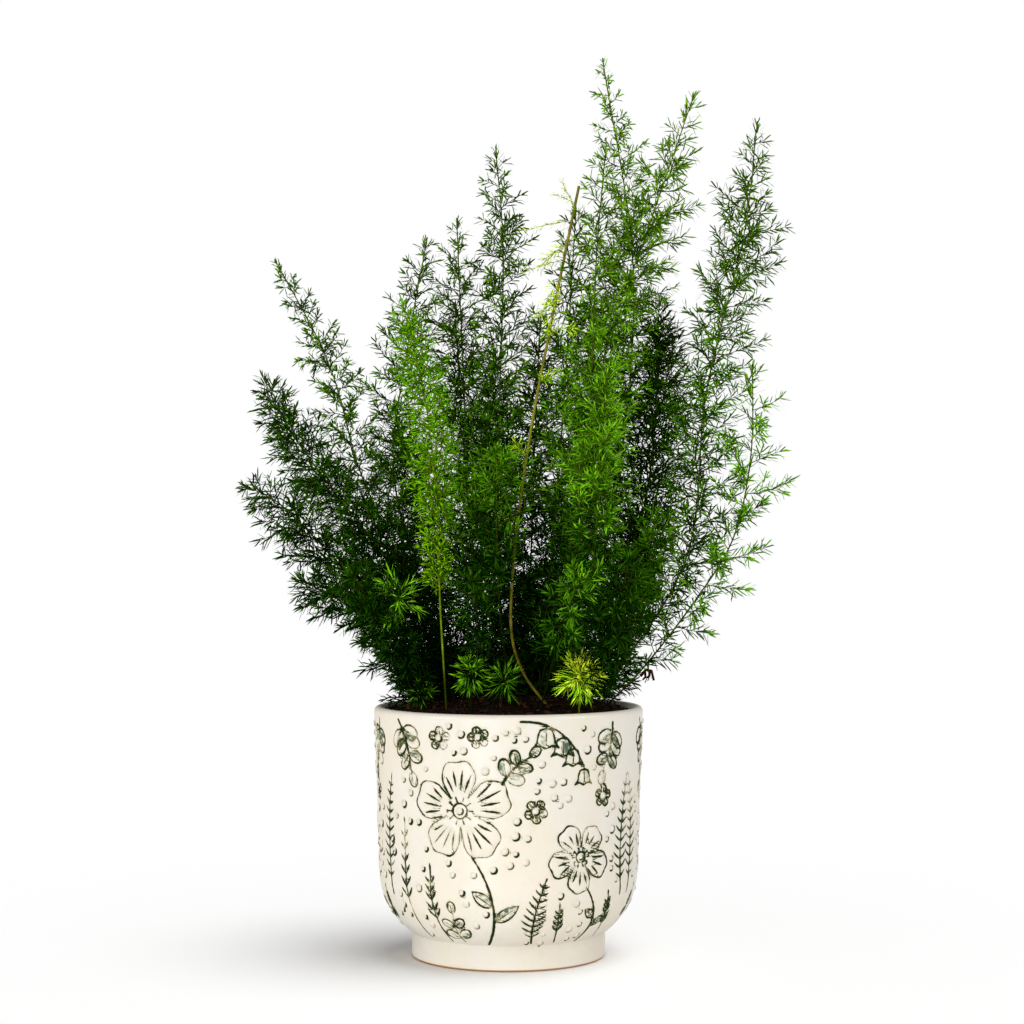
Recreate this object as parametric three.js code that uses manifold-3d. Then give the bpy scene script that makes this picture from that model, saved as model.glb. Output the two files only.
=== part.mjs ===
// Foxtail fern (an asparagus fern with upright plumes) growing in a glazed ceramic pot.
// Millimetres, +Z up. The origin is the centre of the pot's flat base.
//
// Every leafy stem is one closed surface. A three-sided stem is grown ring by ring; each side branch
// takes the place of one triangle of the stem, and each needle is raised from one triangle of the stem
// or branch that carries it. Nothing is placed until the space around it has been found clear.

import * as THREE from 'three';
import { mergeVertices } from 'three/addons/utils/BufferGeometryUtils.js';
import Module from 'manifold-3d';

const wasm = await Module();
wasm.setup();

// ---------------------------------------------------------------- driving dimensions

// Pot
const POT_HEIGHT = 132;
const RIM_RADIUS = 71.2;
const WALL = 5;
const FLOOR_THICKNESS = 8;
const FOOT_RADIUS = 51.1;
const FOOT_HEIGHT = 13;
const FOOT_CHAMFER = 1.5;
const SHOULDER_CORNER = new THREE.Vector2(66, 24); // where the shoulder's two tangents meet
const SHOULDER_TOP = new THREE.Vector2(68, 42); // from here the wall widens straight to the rim
const POT_SEGMENTS = 32;
const SHOULDER_STEPS = 3;
const LIP_STEPS = 3;

// Soil
const SOIL_GAP = 0.3; // all round, to the pot
const SOIL_EDGE_HEIGHT = 128; // where the soil meets the pot's wall
const SOIL_CROWN_HEIGHT = 136; // at the middle of the mound
const SOIL_SEGMENTS = 24;
const ROOT_DEPTH = 12; // how far each stem goes down into the soil, along the stem
const HOLE_GAP = 0.3; // between a stem and the side and the end of its hole
const HOLE_SIDES = 4;

// Stems, branches and needles
const STEM_RADIUS = 0.95;
const STEM_TIP_RADIUS = 0.6;
const BRANCH_RADIUS = 0.55;
const NEEDLE_RADIUS = 0.3; // half the thickness of a needle where it stands clear of its root
const COLLAR = 1.2; // length of the short collar that carries a whorl
const WHORL_SPACING = 24; // along a stem, between collars
const WIDE_REACH = 30; // where a plume reaches this far, a collar carries two branches
const NEEDLE_WHORL_SPACING = 12; // along a branch
const SHOOT_WHORL_SPACING = 3.4; // along a young shoot
const NEEDLE_LENGTH = 8;
const SHOOT_NEEDLE_LENGTH = 12;
const SHORTEST_BRANCH = 8;
const STEM_TIP = 4; // length of the last needle, which ends a stem
const BRANCH_TIP = 3.5; // and a branch
const SHOOT_TIP = 6; // and how far it stands past the end of a young shoot
const SPRIG_RADIUS = 0.4;
const CLEARANCE = 0.4; // kept between any two needles, branches or stems
const BRANCH_BERTH = 1.6; // room beside a branch for the roots of its needles
const BRANCH_ROOT = 3; // length of a branch that may lie close to its own stem
const NEEDLE_ROOT = 1.8; // and of a needle beside what carries it

// Angles, in radians. A lean is measured from the way that the carrier grows.
const GOLDEN_ANGLE = THREE.MathUtils.degToRad(137.5);
const SIDE_ANGLE = (2 * Math.PI) / 3;
const NEEDLE_FAN = 0.42; // half the angle between the two needles on one side of a collar
const WHORL_TURN = 0.5; // each whorl of a branch is turned from the one before
const BRANCH_LEAN = 1.15; // where a branch leaves its stem
const BRANCH_SETTLED_LEAN = 0.95; // further out
const NEEDLE_LEAN = 0.85;
const SHOOT_LOW_LEAN = 1.9; // the lowest needles of a young shoot droop
const SHOOT_TOP_LEAN = 0.55;
const RANDOM_SEED = 20;

// Foliage colours
const TONES = {
  dark: 0x1d4a14,
  mid: 0x2f6b1a,
  fresh: 0x3f8a22,
  lime: 0x7fb51e,
  yellow: 0xb9cc33,
  woody: 0x8f8750,
};

// Leafy stems: where each leaves the soil [x, y], the points it passes through up to its tip
// [x, y, z], the length of its longest side branch, and the part of its length that is bare.
const PLUMES = [
  { name: 'lime_plume', tone: 'lime', root: [-32, -33], reach: 15, bare: 0.28,
    route: [[-35, -38, 185], [-37, -36, 240], [-43, -30, 291], [-56, -24, 345]] },
  { name: 'left_thick_plume', tone: 'dark', root: [-28, -8], reach: 32, bare: 0.14,
    route: [[-42, -10, 167], [-61, -12, 205], [-90, -15, 243], [-115, -18, 278], [-129, -20, 306]] },
  { name: 'left_tall_plume', tone: 'mid', root: [-22, 13], reach: 20, bare: 0.16,
    route: [[-58, 16, 209], [-82, 14, 257], [-97, 10, 302], [-127, 0, 368]] },
  { name: 'left_low_plume', tone: 'dark', root: [-38, 6], reach: 28, bare: 0.16,
    route: [[-63, 10, 171], [-97, 10, 215], [-124, 6, 243], [-144, 4, 253]] },
  { name: 'left_rim_plume', tone: 'dark', root: [-45, -12], reach: 20, bare: 0.16,
    route: [[-62, -24, 165], [-87, -32, 188], [-111, -36, 200]] },
  { name: 'left_curved_plume', tone: 'mid', root: [-22, 26], reach: 25, bare: 0.16,
    route: [[-45, 30, 187], [-62, 24, 256], [-54, 10, 322], [-43, 2, 380]] },
  { name: 'mid_left_plume', tone: 'mid', root: [-12, 34], reach: 24, bare: 0.14,
    route: [[-20, 38, 208], [-24, 32, 296], [-28, 20, 393]] },
  { name: 'centre_tall_plume', tone: 'mid', root: [-8, 15], reach: 26, bare: 0.14,
    route: [[-7, 20, 209], [-5, 18, 289], [-3, 8, 379], [-7, 2, 428]] },
  { name: 'tallest_plume', tone: 'fresh', root: [28, 20], reach: 23, bare: 0.16,
    route: [[51, 30, 208], [64, 30, 285], [67, 20, 370], [50, 6, 476]] },
  { name: 'right_leaning_plume', tone: 'fresh', root: [23, -3], reach: 28, bare: 0.14,
    route: [[37, -3, 203], [52, -10, 322], [71, -14, 376], [97, -18, 452]] },
  { name: 'mid_right_plume', tone: 'fresh', root: [15, -18], reach: 26, bare: 0.14,
    route: [[31, -28, 209], [42, -26, 292], [46, -20, 370], [51, -16, 425]] },
  { name: 'right_tall_plume', tone: 'mid', root: [46, 4], reach: 29, bare: 0.2,
    route: [[94, 0, 209], [104, -8, 297], [124, -12, 382], [130, -16, 438]] },
  { name: 'far_right_plume', tone: 'fresh', root: [50, -14], reach: 26, bare: 0.2,
    route: [[69, -18, 151], [96, -22, 189], [112, -26, 219], [125, -30, 262], [128, -30, 311]] },
  { name: 'right_back_plume', tone: 'dark', root: [44, 24], reach: 28, bare: 0.14,
    route: [[66, 34, 186], [86, 34, 262], [92, 26, 370]] },
  { name: 'right_rim_plume', tone: 'mid', root: [46, -27], reach: 15, bare: 0.14,
    route: [[60, -38, 160], [70, -45, 195], [76, -50, 235]] },
  { name: 'front_right_plume', tone: 'fresh', root: [29, -33], reach: 22, bare: 0.14,
    route: [[41, -46, 189], [46, -50, 250], [50, -44, 305]] },
  { name: 'mid_back_plume', tone: 'mid', root: [11, 8], reach: 24, bare: 0.14,
    route: [[23, 14, 209], [30, 12, 300], [36, 4, 396]] },
  { name: 'centre_back_plume', tone: 'dark', root: [5, 30], reach: 24, bare: 0.14,
    route: [[11, 36, 187], [14, 36, 263], [17, 30, 339]] },
  { name: 'front_middle_plume', tone: 'fresh', root: [2, -32], reach: 18, bare: 0.36,
    route: [[-4, -46, 178], [-6, -54, 222], [-6, -54, 268]] },
  { name: 'front_thin_plume', tone: 'fresh', root: [-20, -38], reach: 14, bare: 0.34,
    route: [[-21, -46, 168], [-20, -50, 209], [-18, -48, 254]] },
  { name: 'front_low_right_plume', tone: 'fresh', root: [16, -44], reach: 17, bare: 0.3,
    route: [[26, -72, 172], [37, -96, 204]] },
  { name: 'front_low_middle_plume', tone: 'mid', root: [-7, -42], reach: 15, bare: 0.3,
    route: [[-14, -68, 168], [-18, -92, 202]] },
  { name: 'front_side_right_plume', tone: 'dark', root: [37, -31], reach: 18, bare: 0.16,
    route: [[52, -62, 170], [60, -84, 214]] },
  { name: 'front_side_left_plume', tone: 'dark', root: [-41, -26], reach: 20, bare: 0.16,
    route: [[-62, -46, 170], [-80, -62, 206]] },
  { name: 'back_left_plume', tone: 'dark', root: [-25, 37], reach: 26, bare: 0.14,
    route: [[-42, 70, 205], [-66, 92, 300]] },
  { name: 'back_middle_plume', tone: 'mid', root: [-1, 44], reach: 26, bare: 0.14,
    route: [[-6, 80, 215], [-8, 98, 330]] },
  { name: 'back_right_plume', tone: 'mid', root: [22, 40], reach: 26, bare: 0.14,
    route: [[38, 74, 210], [54, 94, 318]] },
  { name: 'back_low_left_plume', tone: 'dark', root: [-36, 28], reach: 23, bare: 0.16,
    route: [[-64, 62, 175], [-92, 88, 214]] },
  { name: 'back_low_middle_plume', tone: 'fresh', root: [9, 49], reach: 22, bare: 0.16,
    route: [[10, 84, 165], [10, 120, 196]] },
  { name: 'back_low_right_plume', tone: 'fresh', root: [36, 34], reach: 21, bare: 0.16,
    route: [[64, 64, 180], [80, 86, 238]] },
  { name: 'back_tall_right_plume', tone: 'mid', root: [15, 27], reach: 25, bare: 0.14,
    route: [[40, 58, 240], [64, 56, 390]] },
  { name: 'back_tall_left_plume', tone: 'dark', root: [-13, 45], reach: 24, bare: 0.14,
    route: [[-22, 64, 230], [-30, 60, 352]] },
];

// The old stem: bare wood with its top cut off, and a few thin sprigs on its upper half.
const OLD_STEM = {
  name: 'old_woody_stem', tone: 'woody', root: [19, -24], bare: 0.5, radius: 1,
  route: [[8, -34, 150], [2, -38, 168], [2, -34, 200], [11, -26, 272], [25, -16, 346], [37, -10, 405]],
  sprigs: 5, sprigReach: 15, lastSprig: 0.94,
};

// Young shoots: where each leaves the soil, the point its axis ends at, and its longest needle.
const SHOOTS = [
  { name: 'yellow_shoot', tone: 'yellow', root: [36, -43], top: [38, -50, 149], whorls: 5 },
  { name: 'green_shoot', tone: 'fresh', root: [-19, -48], top: [-20, -54, 154], whorls: 5 },
  { name: 'second_green_shoot', tone: 'fresh', root: [-4, -53], top: [-5, -60, 148], whorls: 4 },
  { name: 'rim_shoot', tone: 'fresh', root: [-47, -22], top: [-51, -25, 143], whorls: 3 },
  { name: 'star_shoot', tone: 'fresh', root: [-36, -41], top: [-56, -54, 194], whorls: 3 },
];

// ---------------------------------------------------------------- small helpers

/** Repeatable random numbers from 0 up to 1 (the mulberry32 generator). */
function seededRandom(seed) {
  let state = seed;
  return () => {
    state = (state + 0x6d2b79f5) | 0;
    let mixed = Math.imul(state ^ (state >>> 15), 1 | state);
    mixed = (mixed + Math.imul(mixed ^ (mixed >>> 7), 61 | mixed)) ^ mixed;
    return ((mixed ^ (mixed >>> 14)) >>> 0) / 4294967296;
  };
}

const random = seededRandom(RANDOM_SEED);

/** A random number within `spread` of zero. */
function jitter(spread) {
  return (2 * random() - 1) * spread;
}

function vector(point) {
  return new THREE.Vector3(...point);
}

/** Height of the mounded soil at a distance from the pot's axis. */
function soilHeight(radius) {
  const edge = RIM_RADIUS - WALL;
  const fall = (radius / edge) ** 2;
  return SOIL_CROWN_HEIGHT - (SOIL_CROWN_HEIGHT - SOIL_EDGE_HEIGHT) * fall;
}

/** One vertex for each place, and no triangle that has closed up on the axis. */
function weld(geometry) {
  const bare = geometry.clone();
  bare.deleteAttribute('normal');
  bare.deleteAttribute('uv');
  const merged = mergeVertices(bare, 1e-4);
  const corners = merged.index.array;
  const kept = [];
  for (let i = 0; i < corners.length; i += 3) {
    const [a, b, c] = corners.slice(i, i + 3);
    if (a !== b && b !== c && c !== a) kept.push(a, b, c);
  }
  merged.setIndex(kept);
  return merged;
}

function toSolid(geometry) {
  const welded = weld(geometry);
  return new wasm.Manifold(new wasm.Mesh({
    numProp: 3,
    vertProperties: new Float32Array(welded.attributes.position.array),
    triVerts: new Uint32Array(welded.index.array),
  }));
}

function toGeometry(solid) {
  const mesh = solid.getMesh();
  const geometry = new THREE.BufferGeometry();
  geometry.setAttribute('position', new THREE.BufferAttribute(mesh.vertProperties, 3));
  geometry.setIndex(new THREE.BufferAttribute(mesh.triVerts, 1));
  return geometry;
}

/** A profile of [radius, height] points turned about the Z axis. */
function turned(profile, segments) {
  return weld(new THREE.LatheGeometry(profile, segments).rotateX(Math.PI / 2));
}

// ---------------------------------------------------------------- pot and soil

/** Outer radius of the pot above its shoulder. */
function wallRadius(height) {
  const rise = (height - SHOULDER_TOP.y) / (POT_HEIGHT - SHOULDER_TOP.y);
  return THREE.MathUtils.lerp(SHOULDER_TOP.x, RIM_RADIUS, rise);
}

function potGeometry() {
  const lipRadius = WALL / 2;
  const lipHeight = POT_HEIGHT - lipRadius;
  const lipCentre = wallRadius(lipHeight) - lipRadius;
  const foot = new THREE.Vector2(FOOT_RADIUS, FOOT_HEIGHT);
  const shoulder = new THREE.QuadraticBezierCurve(foot, SHOULDER_CORNER, SHOULDER_TOP);
  const lip = new THREE.EllipseCurve(lipCentre, lipHeight, lipRadius, lipRadius, 0, Math.PI);
  const profile = [
    new THREE.Vector2(0, 0),
    new THREE.Vector2(FOOT_RADIUS - FOOT_CHAMFER, 0),
    new THREE.Vector2(FOOT_RADIUS, FOOT_CHAMFER),
    ...shoulder.getPoints(SHOULDER_STEPS),
    ...lip.getPoints(LIP_STEPS),
    ...insideProfile(0).reverse(),
  ];
  return turned(profile, POT_SEGMENTS);
}

/** The inside of the pot from the axis outwards and up to the soil's edge, drawn in by `gap`. */
function insideProfile(gap) {
  const cornerRadius = SHOULDER_CORNER.x - WALL - gap;
  return [
    new THREE.Vector2(0, FLOOR_THICKNESS + gap),
    new THREE.Vector2(FOOT_RADIUS - WALL - gap, FLOOR_THICKNESS + gap),
    new THREE.Vector2(cornerRadius, SHOULDER_TOP.y - WALL + gap),
    new THREE.Vector2(wallRadius(SOIL_EDGE_HEIGHT) - WALL - gap, SOIL_EDGE_HEIGHT),
  ];
}

function soilGeometry(stems) {
  const inside = insideProfile(SOIL_GAP);
  const edge = inside.at(-1).x;
  const mound = [2 / 3, 1 / 3, 0].map((part) => {
    const radius = part * edge;
    return new THREE.Vector2(radius, soilHeight(radius));
  });
  let soil = toSolid(turned([...inside, ...mound], SOIL_SEGMENTS));
  for (const stem of stems) {
    soil = soil.subtract(toSolid(holeGeometry(stem)));
  }
  return toGeometry(soil);
}

/** The plain hole in the soil that a stem stands in, with a little room round the stem. */
function holeGeometry(stem) {
  const bottom = stem.foot.clone().addScaledVector(stem.footDirection, -HOLE_GAP);
  const length = 2 * ROOT_DEPTH;
  const corner = (stem.radius + HOLE_GAP) / Math.cos(Math.PI / HOLE_SIDES);
  const hole = new THREE.CylinderGeometry(corner, corner, length, HOLE_SIDES);
  hole.translate(0, length / 2, 0);
  const up = new THREE.Vector3(0, 1, 0);
  hole.applyQuaternion(new THREE.Quaternion().setFromUnitVectors(up, stem.footDirection));
  return hole.translate(bottom.x, bottom.y, bottom.z);
}

// ---------------------------------------------------------------- room between needles

/** Shortest distance between the straight lines p-q and r-s, ends included. */
function lineDistance(p, q, r, s) {
  const first = q.clone().sub(p);
  const second = s.clone().sub(r);
  const offset = p.clone().sub(r);
  const a = first.dot(first);
  const b = first.dot(second);
  const c = second.dot(second);
  const d = first.dot(offset);
  const e = second.dot(offset);
  const determinant = a * c - b * b;
  const clamp = THREE.MathUtils.clamp;
  let along = determinant > 1e-9 ? clamp((b * e - c * d) / determinant, 0, 1) : 0;
  const across = clamp((b * along + e) / c, 0, 1);
  along = clamp((b * across - d) / a, 0, 1);
  return offset.addScaledVector(first, along).addScaledVector(second, -across).length();
}

/** True if p-q keeps `room` above the soil, and above the height of the rim from there out. */
function isClearOfPot(p, q, room) {
  const steps = 5;
  for (let i = 1; i <= steps; i += 1) {
    const point = p.clone().lerp(q, i / steps);
    const radius = Math.hypot(point.x, point.y);
    const isOverRim = radius > RIM_RADIUS - WALL - room;
    const ground = isOverRim ? POT_HEIGHT : soilHeight(radius);
    if (point.z < ground + room) return false;
  }
  return true;
}

/** All stems, branches and needles placed so far, as thick lines sorted into cubes of space. */
class Thicket {
  constructor() {
    this.cubes = new Map();
    this.cubeSize = 8;
    this.margin = 4; // more than any two radii and their clearance
  }

  cubesAround(p, q, margin, visit) {
    const low = p.clone().min(q).subScalar(margin).divideScalar(this.cubeSize).floor();
    const high = p.clone().max(q).addScalar(margin).divideScalar(this.cubeSize).floor();
    for (let x = low.x; x <= high.x; x += 1) {
      for (let y = low.y; y <= high.y; y += 1) {
        for (let z = low.z; z <= high.z; z += 1) visit(`${x},${y},${z}`);
      }
    }
  }

  /** `owner` is the stem or branch that the line belongs to. */
  add(p, q, radius, owner) {
    const line = { p: p.clone(), q: q.clone(), radius, owner };
    this.cubesAround(p, q, 0, (key) => {
      if (!this.cubes.has(key)) this.cubes.set(key, []);
      this.cubes.get(key).push(line);
    });
  }

  /** True if p-q is clear; beside its own parent only its part past `root` has to be, narrowly. */
  isClear(p, q, radius, clearance, parent, root) {
    if (!isClearOfPot(p, q, radius + clearance)) return false;
    const length = p.distanceTo(q);
    const past = p.clone().lerp(q, Math.min(root / length, 1));
    let clear = true;
    this.cubesAround(p, q, this.margin, (key) => {
      if (!clear) return;
      for (const line of this.cubes.get(key) ?? []) {
        if (line.owner === parent && root >= length) continue;
        const start = line.owner === parent ? past : p;
        const berth = line.owner === parent ? CLEARANCE : clearance;
        const needed = radius + line.radius + berth;
        if (lineDistance(start, q, line.p, line.q) < needed) {
          clear = false;
          return;
        }
      }
    });
    return clear;
  }
}

const thicket = new Thicket();

// ---------------------------------------------------------------- growing a closed surface

/** One closed surface while it grows: its points, its finished faces and its open sites. */
class Growth {
  constructor() {
    this.points = [];
    this.faces = [];
    this.sites = []; // triangles that may still carry a branch or a needle
  }

  addPoint(point) {
    this.points.push(point);
    return this.points.length - 1;
  }

  middle(triangle) {
    const [a, b, c] = triangle.map((corner) => this.points[corner]);
    return a.clone().add(b).add(c).divideScalar(3);
  }

  /** Closes a ring of three corners, or a site, to one point. */
  closeTo(ring, tip) {
    const top = this.addPoint(tip);
    ring.forEach((corner, i) => this.faces.push([corner, ring[(i + 1) % 3], top]));
  }

  /** Adds a ring of three corners round `centre`, turned to follow `across`. */
  addRing(centre, ahead, across, radius) {
    const side = ahead.clone().cross(across);
    return [0, 1, 2].map((i) => {
      const angle = i * SIDE_ANGLE;
      const corner = centre.clone();
      corner.addScaledVector(across, radius * Math.cos(angle));
      corner.addScaledVector(side, radius * Math.sin(angle));
      return this.addPoint(corner);
    });
  }

  /** Joins two rings by three sides. Sides of a collar become sites, the others faces. */
  joinRings(lower, upper, collar) {
    for (let i = 0; i < 3; i += 1) {
      const next = (i + 1) % 3;
      const right = [lower[i], lower[next], upper[next]];
      const left = [lower[i], upper[next], upper[i]];
      if (collar === undefined) {
        this.faces.push(right, left);
      } else {
        const angle = (i + 0.5) * SIDE_ANGLE;
        this.sites.push({ ...collar, triangle: right, angle: angle + NEEDLE_FAN });
        this.sites.push({ ...collar, triangle: left, angle: angle - NEEDLE_FAN });
      }
    }
  }

  toGeometry() {
    const geometry = new THREE.BufferGeometry().setFromPoints(this.points);
    return geometry.setIndex(this.faces.flat());
  }
}

/** `across` made square to `ahead`, then turned about it. */
function squared(across, ahead, turn) {
  return across.clone().projectOnPlane(ahead).normalize().applyAxisAngle(ahead, turn);
}

/**
 * Grows a three-sided tube from `ring` along `curve`, with a collar at each of `collars`
 * (distances along the curve), each collar turned by `turn` from the one before.
 * Returns the last ring.
 */
function growTube(growth, ring, curve, across, options) {
  const { collars, radiusAt, turn, owner, reachAt } = options;
  const length = curve.getLength();
  let lower = ring;
  let direction = across;
  for (const place of collars) {
    const collar = { owner, part: place / length, reach: reachAt?.(place) };
    [place - COLLAR / 2, place + COLLAR / 2].forEach((distance, end) => {
      const centre = curve.getPointAt(distance / length);
      const ahead = curve.getTangentAt(distance / length);
      direction = squared(direction, ahead, end === 0 ? turn : 0);
      const upper = growth.addRing(centre, ahead, direction, radiusAt(distance));
      const site = { ...collar, ahead, across: direction };
      growth.joinRings(lower, upper, end === 0 ? undefined : site);
      lower = upper;
    });
  }
  return lower;
}

/** The direction that leaves a site at `lean` from the way its carrier grows. */
function siteDirection(site, lean, swing) {
  const outward = site.across.clone().applyAxisAngle(site.ahead, site.angle + swing);
  const direction = site.ahead.clone().multiplyScalar(Math.cos(lean));
  return direction.addScaledVector(outward, Math.sin(lean));
}

// ---------------------------------------------------------------- stems

let ownerCount = 0;

function newOwner() {
  ownerCount += 1;
  return ownerCount;
}

/** Lines up the stem of a plume or shoot: its curve, its foot in the soil and its radius. */
function layStem(spec, points, radius) {
  const [x, y] = spec.root;
  const surface = new THREE.Vector3(x, y, soilHeight(Math.hypot(x, y)));
  const above = [surface, ...points.map(vector)];
  const curve = new THREE.CatmullRomCurve3(above, false, 'centripetal');
  const footDirection = curve.getTangentAt(0);
  const foot = surface.clone().addScaledVector(footDirection, -ROOT_DEPTH);
  const stem = { spec, curve, foot, footDirection, radius, length: curve.getLength() };
  stem.owner = newOwner();
  stem.growth = new Growth();
  const steps = Math.ceil(stem.length / 12);
  const line = [foot, ...curve.getSpacedPoints(steps)];
  for (let i = 1; i < line.length; i += 1) thicket.add(line[i - 1], line[i], radius, stem.owner);
  return stem;
}

/** Grows the stem's own surface from its foot to its tip, with a collar at each of `collars`. */
function growStem(stem, collars, reachAt) {
  const { growth, curve, footDirection, foot, radius, length } = stem;
  const across = squared(new THREE.Vector3(1, 0, 0), footDirection, random() * SIDE_ANGLE);
  const base = growth.addRing(foot, footDirection, across, radius);
  growth.faces.push([base[0], base[2], base[1]]);
  const ground = growth.addRing(curve.getPointAt(0), footDirection, across, radius);
  growth.joinRings(base, ground);
  const radiusAt = (place) => THREE.MathUtils.lerp(radius, STEM_TIP_RADIUS, place / length);
  const turn = GOLDEN_ANGLE - SIDE_ANGLE;
  const options = { collars, radiusAt, turn, owner: stem.owner, reachAt };
  return growTube(growth, ground, curve, across, options);
}

/** Places evenly spaced from `first` to `last`, about `spacing` apart. */
function evenPlaces(first, last, spacing) {
  const count = Math.max(1, Math.round((last - first) / spacing));
  return Array.from({ length: count + 1 }, (_, i) => first + ((last - first) * i) / count);
}

/** How far side branches reach at `part` of the leafy length: full low down, short at the tip. */
function plumeOutline(part) {
  return Math.min(1, 0.5 + 1.8 * part) * Math.min(1, 3.6 * (1 - part)) ** 0.85;
}

function growPlumeStem(stem) {
  const { spec, length } = stem;
  const first = spec.bare * length;
  const collars = evenPlaces(first, length - STEM_TIP, WHORL_SPACING);
  const reachAt = (place) => spec.reach * plumeOutline((place - first) / (length - first));
  const end = growStem(stem, collars, reachAt);
  stem.growth.closeTo(end, stem.curve.getPointAt(1));
}

// ---------------------------------------------------------------- branches

/** Tries to grow a branch from a site; false if there is no room for it. */
function growBranch(stem, site, reach, radius) {
  const start = stem.growth.middle(site.triangle);
  for (let attempt = 0; attempt < 8; attempt += 1) {
    const length = reach * (1 - 0.06 * attempt) * (1 + jitter(0.08));
    if (length < SHORTEST_BRANCH) return false;
    const swing = jitter(0.25 + 0.05 * attempt);
    const leave = siteDirection(site, BRANCH_LEAN + jitter(0.1), swing);
    const settle = siteDirection(site, BRANCH_SETTLED_LEAN + jitter(0.2), jitter(0.3));
    const bend = start.clone().addScaledVector(leave, length / 2);
    const end = bend.clone().addScaledVector(settle, length / 2);
    const curve = new THREE.QuadraticBezierCurve3(start, bend, end);
    const points = curve.getSpacedPoints(4);
    const isFree = points.slice(1).every((point, i) => {
      const root = i === 0 ? BRANCH_ROOT : 0;
      return thicket.isClear(points[i], point, radius, BRANCH_BERTH, site.owner, root);
    });
    if (isFree) {
      addBranch(stem, site, curve, points, radius);
      return true;
    }
  }
  return false;
}

function addBranch(stem, site, curve, points, radius) {
  const owner = newOwner();
  const { growth } = stem;
  const length = curve.getLength();
  const rootEnd = points[0].clone().lerp(points[1], 0.5);
  thicket.add(points[0], rootEnd, radius, site.owner);
  thicket.add(rootEnd, points[1], radius, owner);
  for (let i = 2; i < points.length; i += 1) {
    thicket.add(points[i - 1], points[i], radius, owner);
  }
  const ahead = curve.getTangentAt(0);
  const across = squared(growth.points[site.triangle[0]].clone().sub(points[0]), ahead, 0);
  const radiusAt = () => radius;
  const options = { collars: branchCollars(length), radiusAt, turn: WHORL_TURN, owner };
  const end = growTube(growth, site.triangle, curve, across, options);
  growth.closeTo(end, points.at(-1));
}

/** Where the whorls of needles stand on a branch: one near its tip, the others inwards. */
function branchCollars(length) {
  const last = length - BRANCH_TIP;
  const first = Math.max(BRANCH_ROOT, 0.36 * length);
  if (last - first < NEEDLE_WHORL_SPACING / 2) return [last];
  return evenPlaces(first, last, NEEDLE_WHORL_SPACING);
}

/**
 * Grows a branch from each collar of a plume, and a second one where the plume is wide. They go
 * round the stem by the golden angle, and the sites left over carry needles.
 */
function growBranches(stem) {
  const sites = stem.growth.sites.splice(0);
  const left = sites.filter((site, i) => {
    const turn = (i % 6) - 2 * (Math.floor(i / 6) % 3);
    const isBranchSite = turn === 0 || (site.reach > WIDE_REACH && (turn === 2 || turn === -4));
    return !isBranchSite || !growBranch(stem, site, site.reach, BRANCH_RADIUS);
  });
  stem.growth.sites.push(...left);
}

// ---------------------------------------------------------------- needles

/** Raises a needle from each open site that has room, and closes the others flat. */
function growNeedles(stem, length, leanAt) {
  const { growth } = stem;
  for (const site of growth.sites) {
    const start = growth.middle(site.triangle);
    const tip = clearNeedleTip(site, start, length, leanAt(site.part));
    if (tip) {
      thicket.add(start, tip, NEEDLE_RADIUS, site.owner);
      growth.closeTo(site.triangle, tip);
    } else {
      growth.faces.push(site.triangle);
    }
  }
}

function clearNeedleTip(site, start, length, lean) {
  for (let attempt = 0; attempt < 6; attempt += 1) {
    const direction = siteDirection(site, lean + jitter(0.12), jitter(0.14 + 0.04 * attempt));
    const reach = length * (1 + jitter(0.14)) * (1 - 0.05 * attempt);
    const tip = start.clone().addScaledVector(direction, reach);
    if (thicket.isClear(start, tip, NEEDLE_RADIUS, CLEARANCE, site.owner, NEEDLE_ROOT)) return tip;
  }
  return null;
}

// ---------------------------------------------------------------- the old stem and the shoots

function growOldStem(stem) {
  const { spec, length, growth } = stem;
  const first = spec.bare * length;
  const last = spec.lastSprig * length;
  const end = growStem(stem, evenPlaces(first, last, (last - first) / spec.sprigs));
  growth.faces.push(end);
}

/** One thin sprig from each collar; the rest of the collar stays bare wood. */
function growSprigs(stem) {
  const sites = stem.growth.sites.splice(0);
  sites.forEach((site, i) => {
    const isSprigSite = i % 6 === 2 * (Math.floor(i / 6) % 3);
    if (!isSprigSite || !growBranch(stem, site, stem.spec.sprigReach, SPRIG_RADIUS)) {
      stem.growth.faces.push(site.triangle);
    }
  });
}

function growShootStem(stem) {
  const { spec, length, growth, curve } = stem;
  const last = length - COLLAR;
  const first = last - (spec.whorls - 1) * SHOOT_WHORL_SPACING;
  const end = growStem(stem, evenPlaces(first, last, SHOOT_WHORL_SPACING));
  growth.closeTo(end, curve.getPointAt(1).addScaledVector(curve.getTangentAt(1), SHOOT_TIP));
}

// ---------------------------------------------------------------- the whole plant

const plumes = PLUMES.map((spec) => layStem(spec, spec.route, STEM_RADIUS));
const oldStem = layStem(OLD_STEM, OLD_STEM.route, OLD_STEM.radius);
const shoots = SHOOTS.map((spec) => layStem(spec, [spec.top], STEM_RADIUS));
const stems = [...plumes, oldStem, ...shoots];

plumes.forEach(growPlumeStem);
growOldStem(oldStem);
shoots.forEach(growShootStem);

plumes.forEach(growBranches);
growSprigs(oldStem);

const plumeLean = () => NEEDLE_LEAN;
const shootLean = (part) => THREE.MathUtils.lerp(SHOOT_LOW_LEAN, SHOOT_TOP_LEAN, part);
plumes.forEach((stem) => growNeedles(stem, NEEDLE_LENGTH, plumeLean));
growNeedles(oldStem, NEEDLE_LENGTH / 2, plumeLean);
shoots.forEach((stem) => growNeedles(stem, SHOOT_NEEDLE_LENGTH, shootLean));

const model = new THREE.Group();
model.name = 'potted_foxtail_fern';

function addPart(name, geometry, material) {
  const mesh = new THREE.Mesh(geometry, material);
  mesh.name = name;
  model.add(mesh);
}

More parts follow.
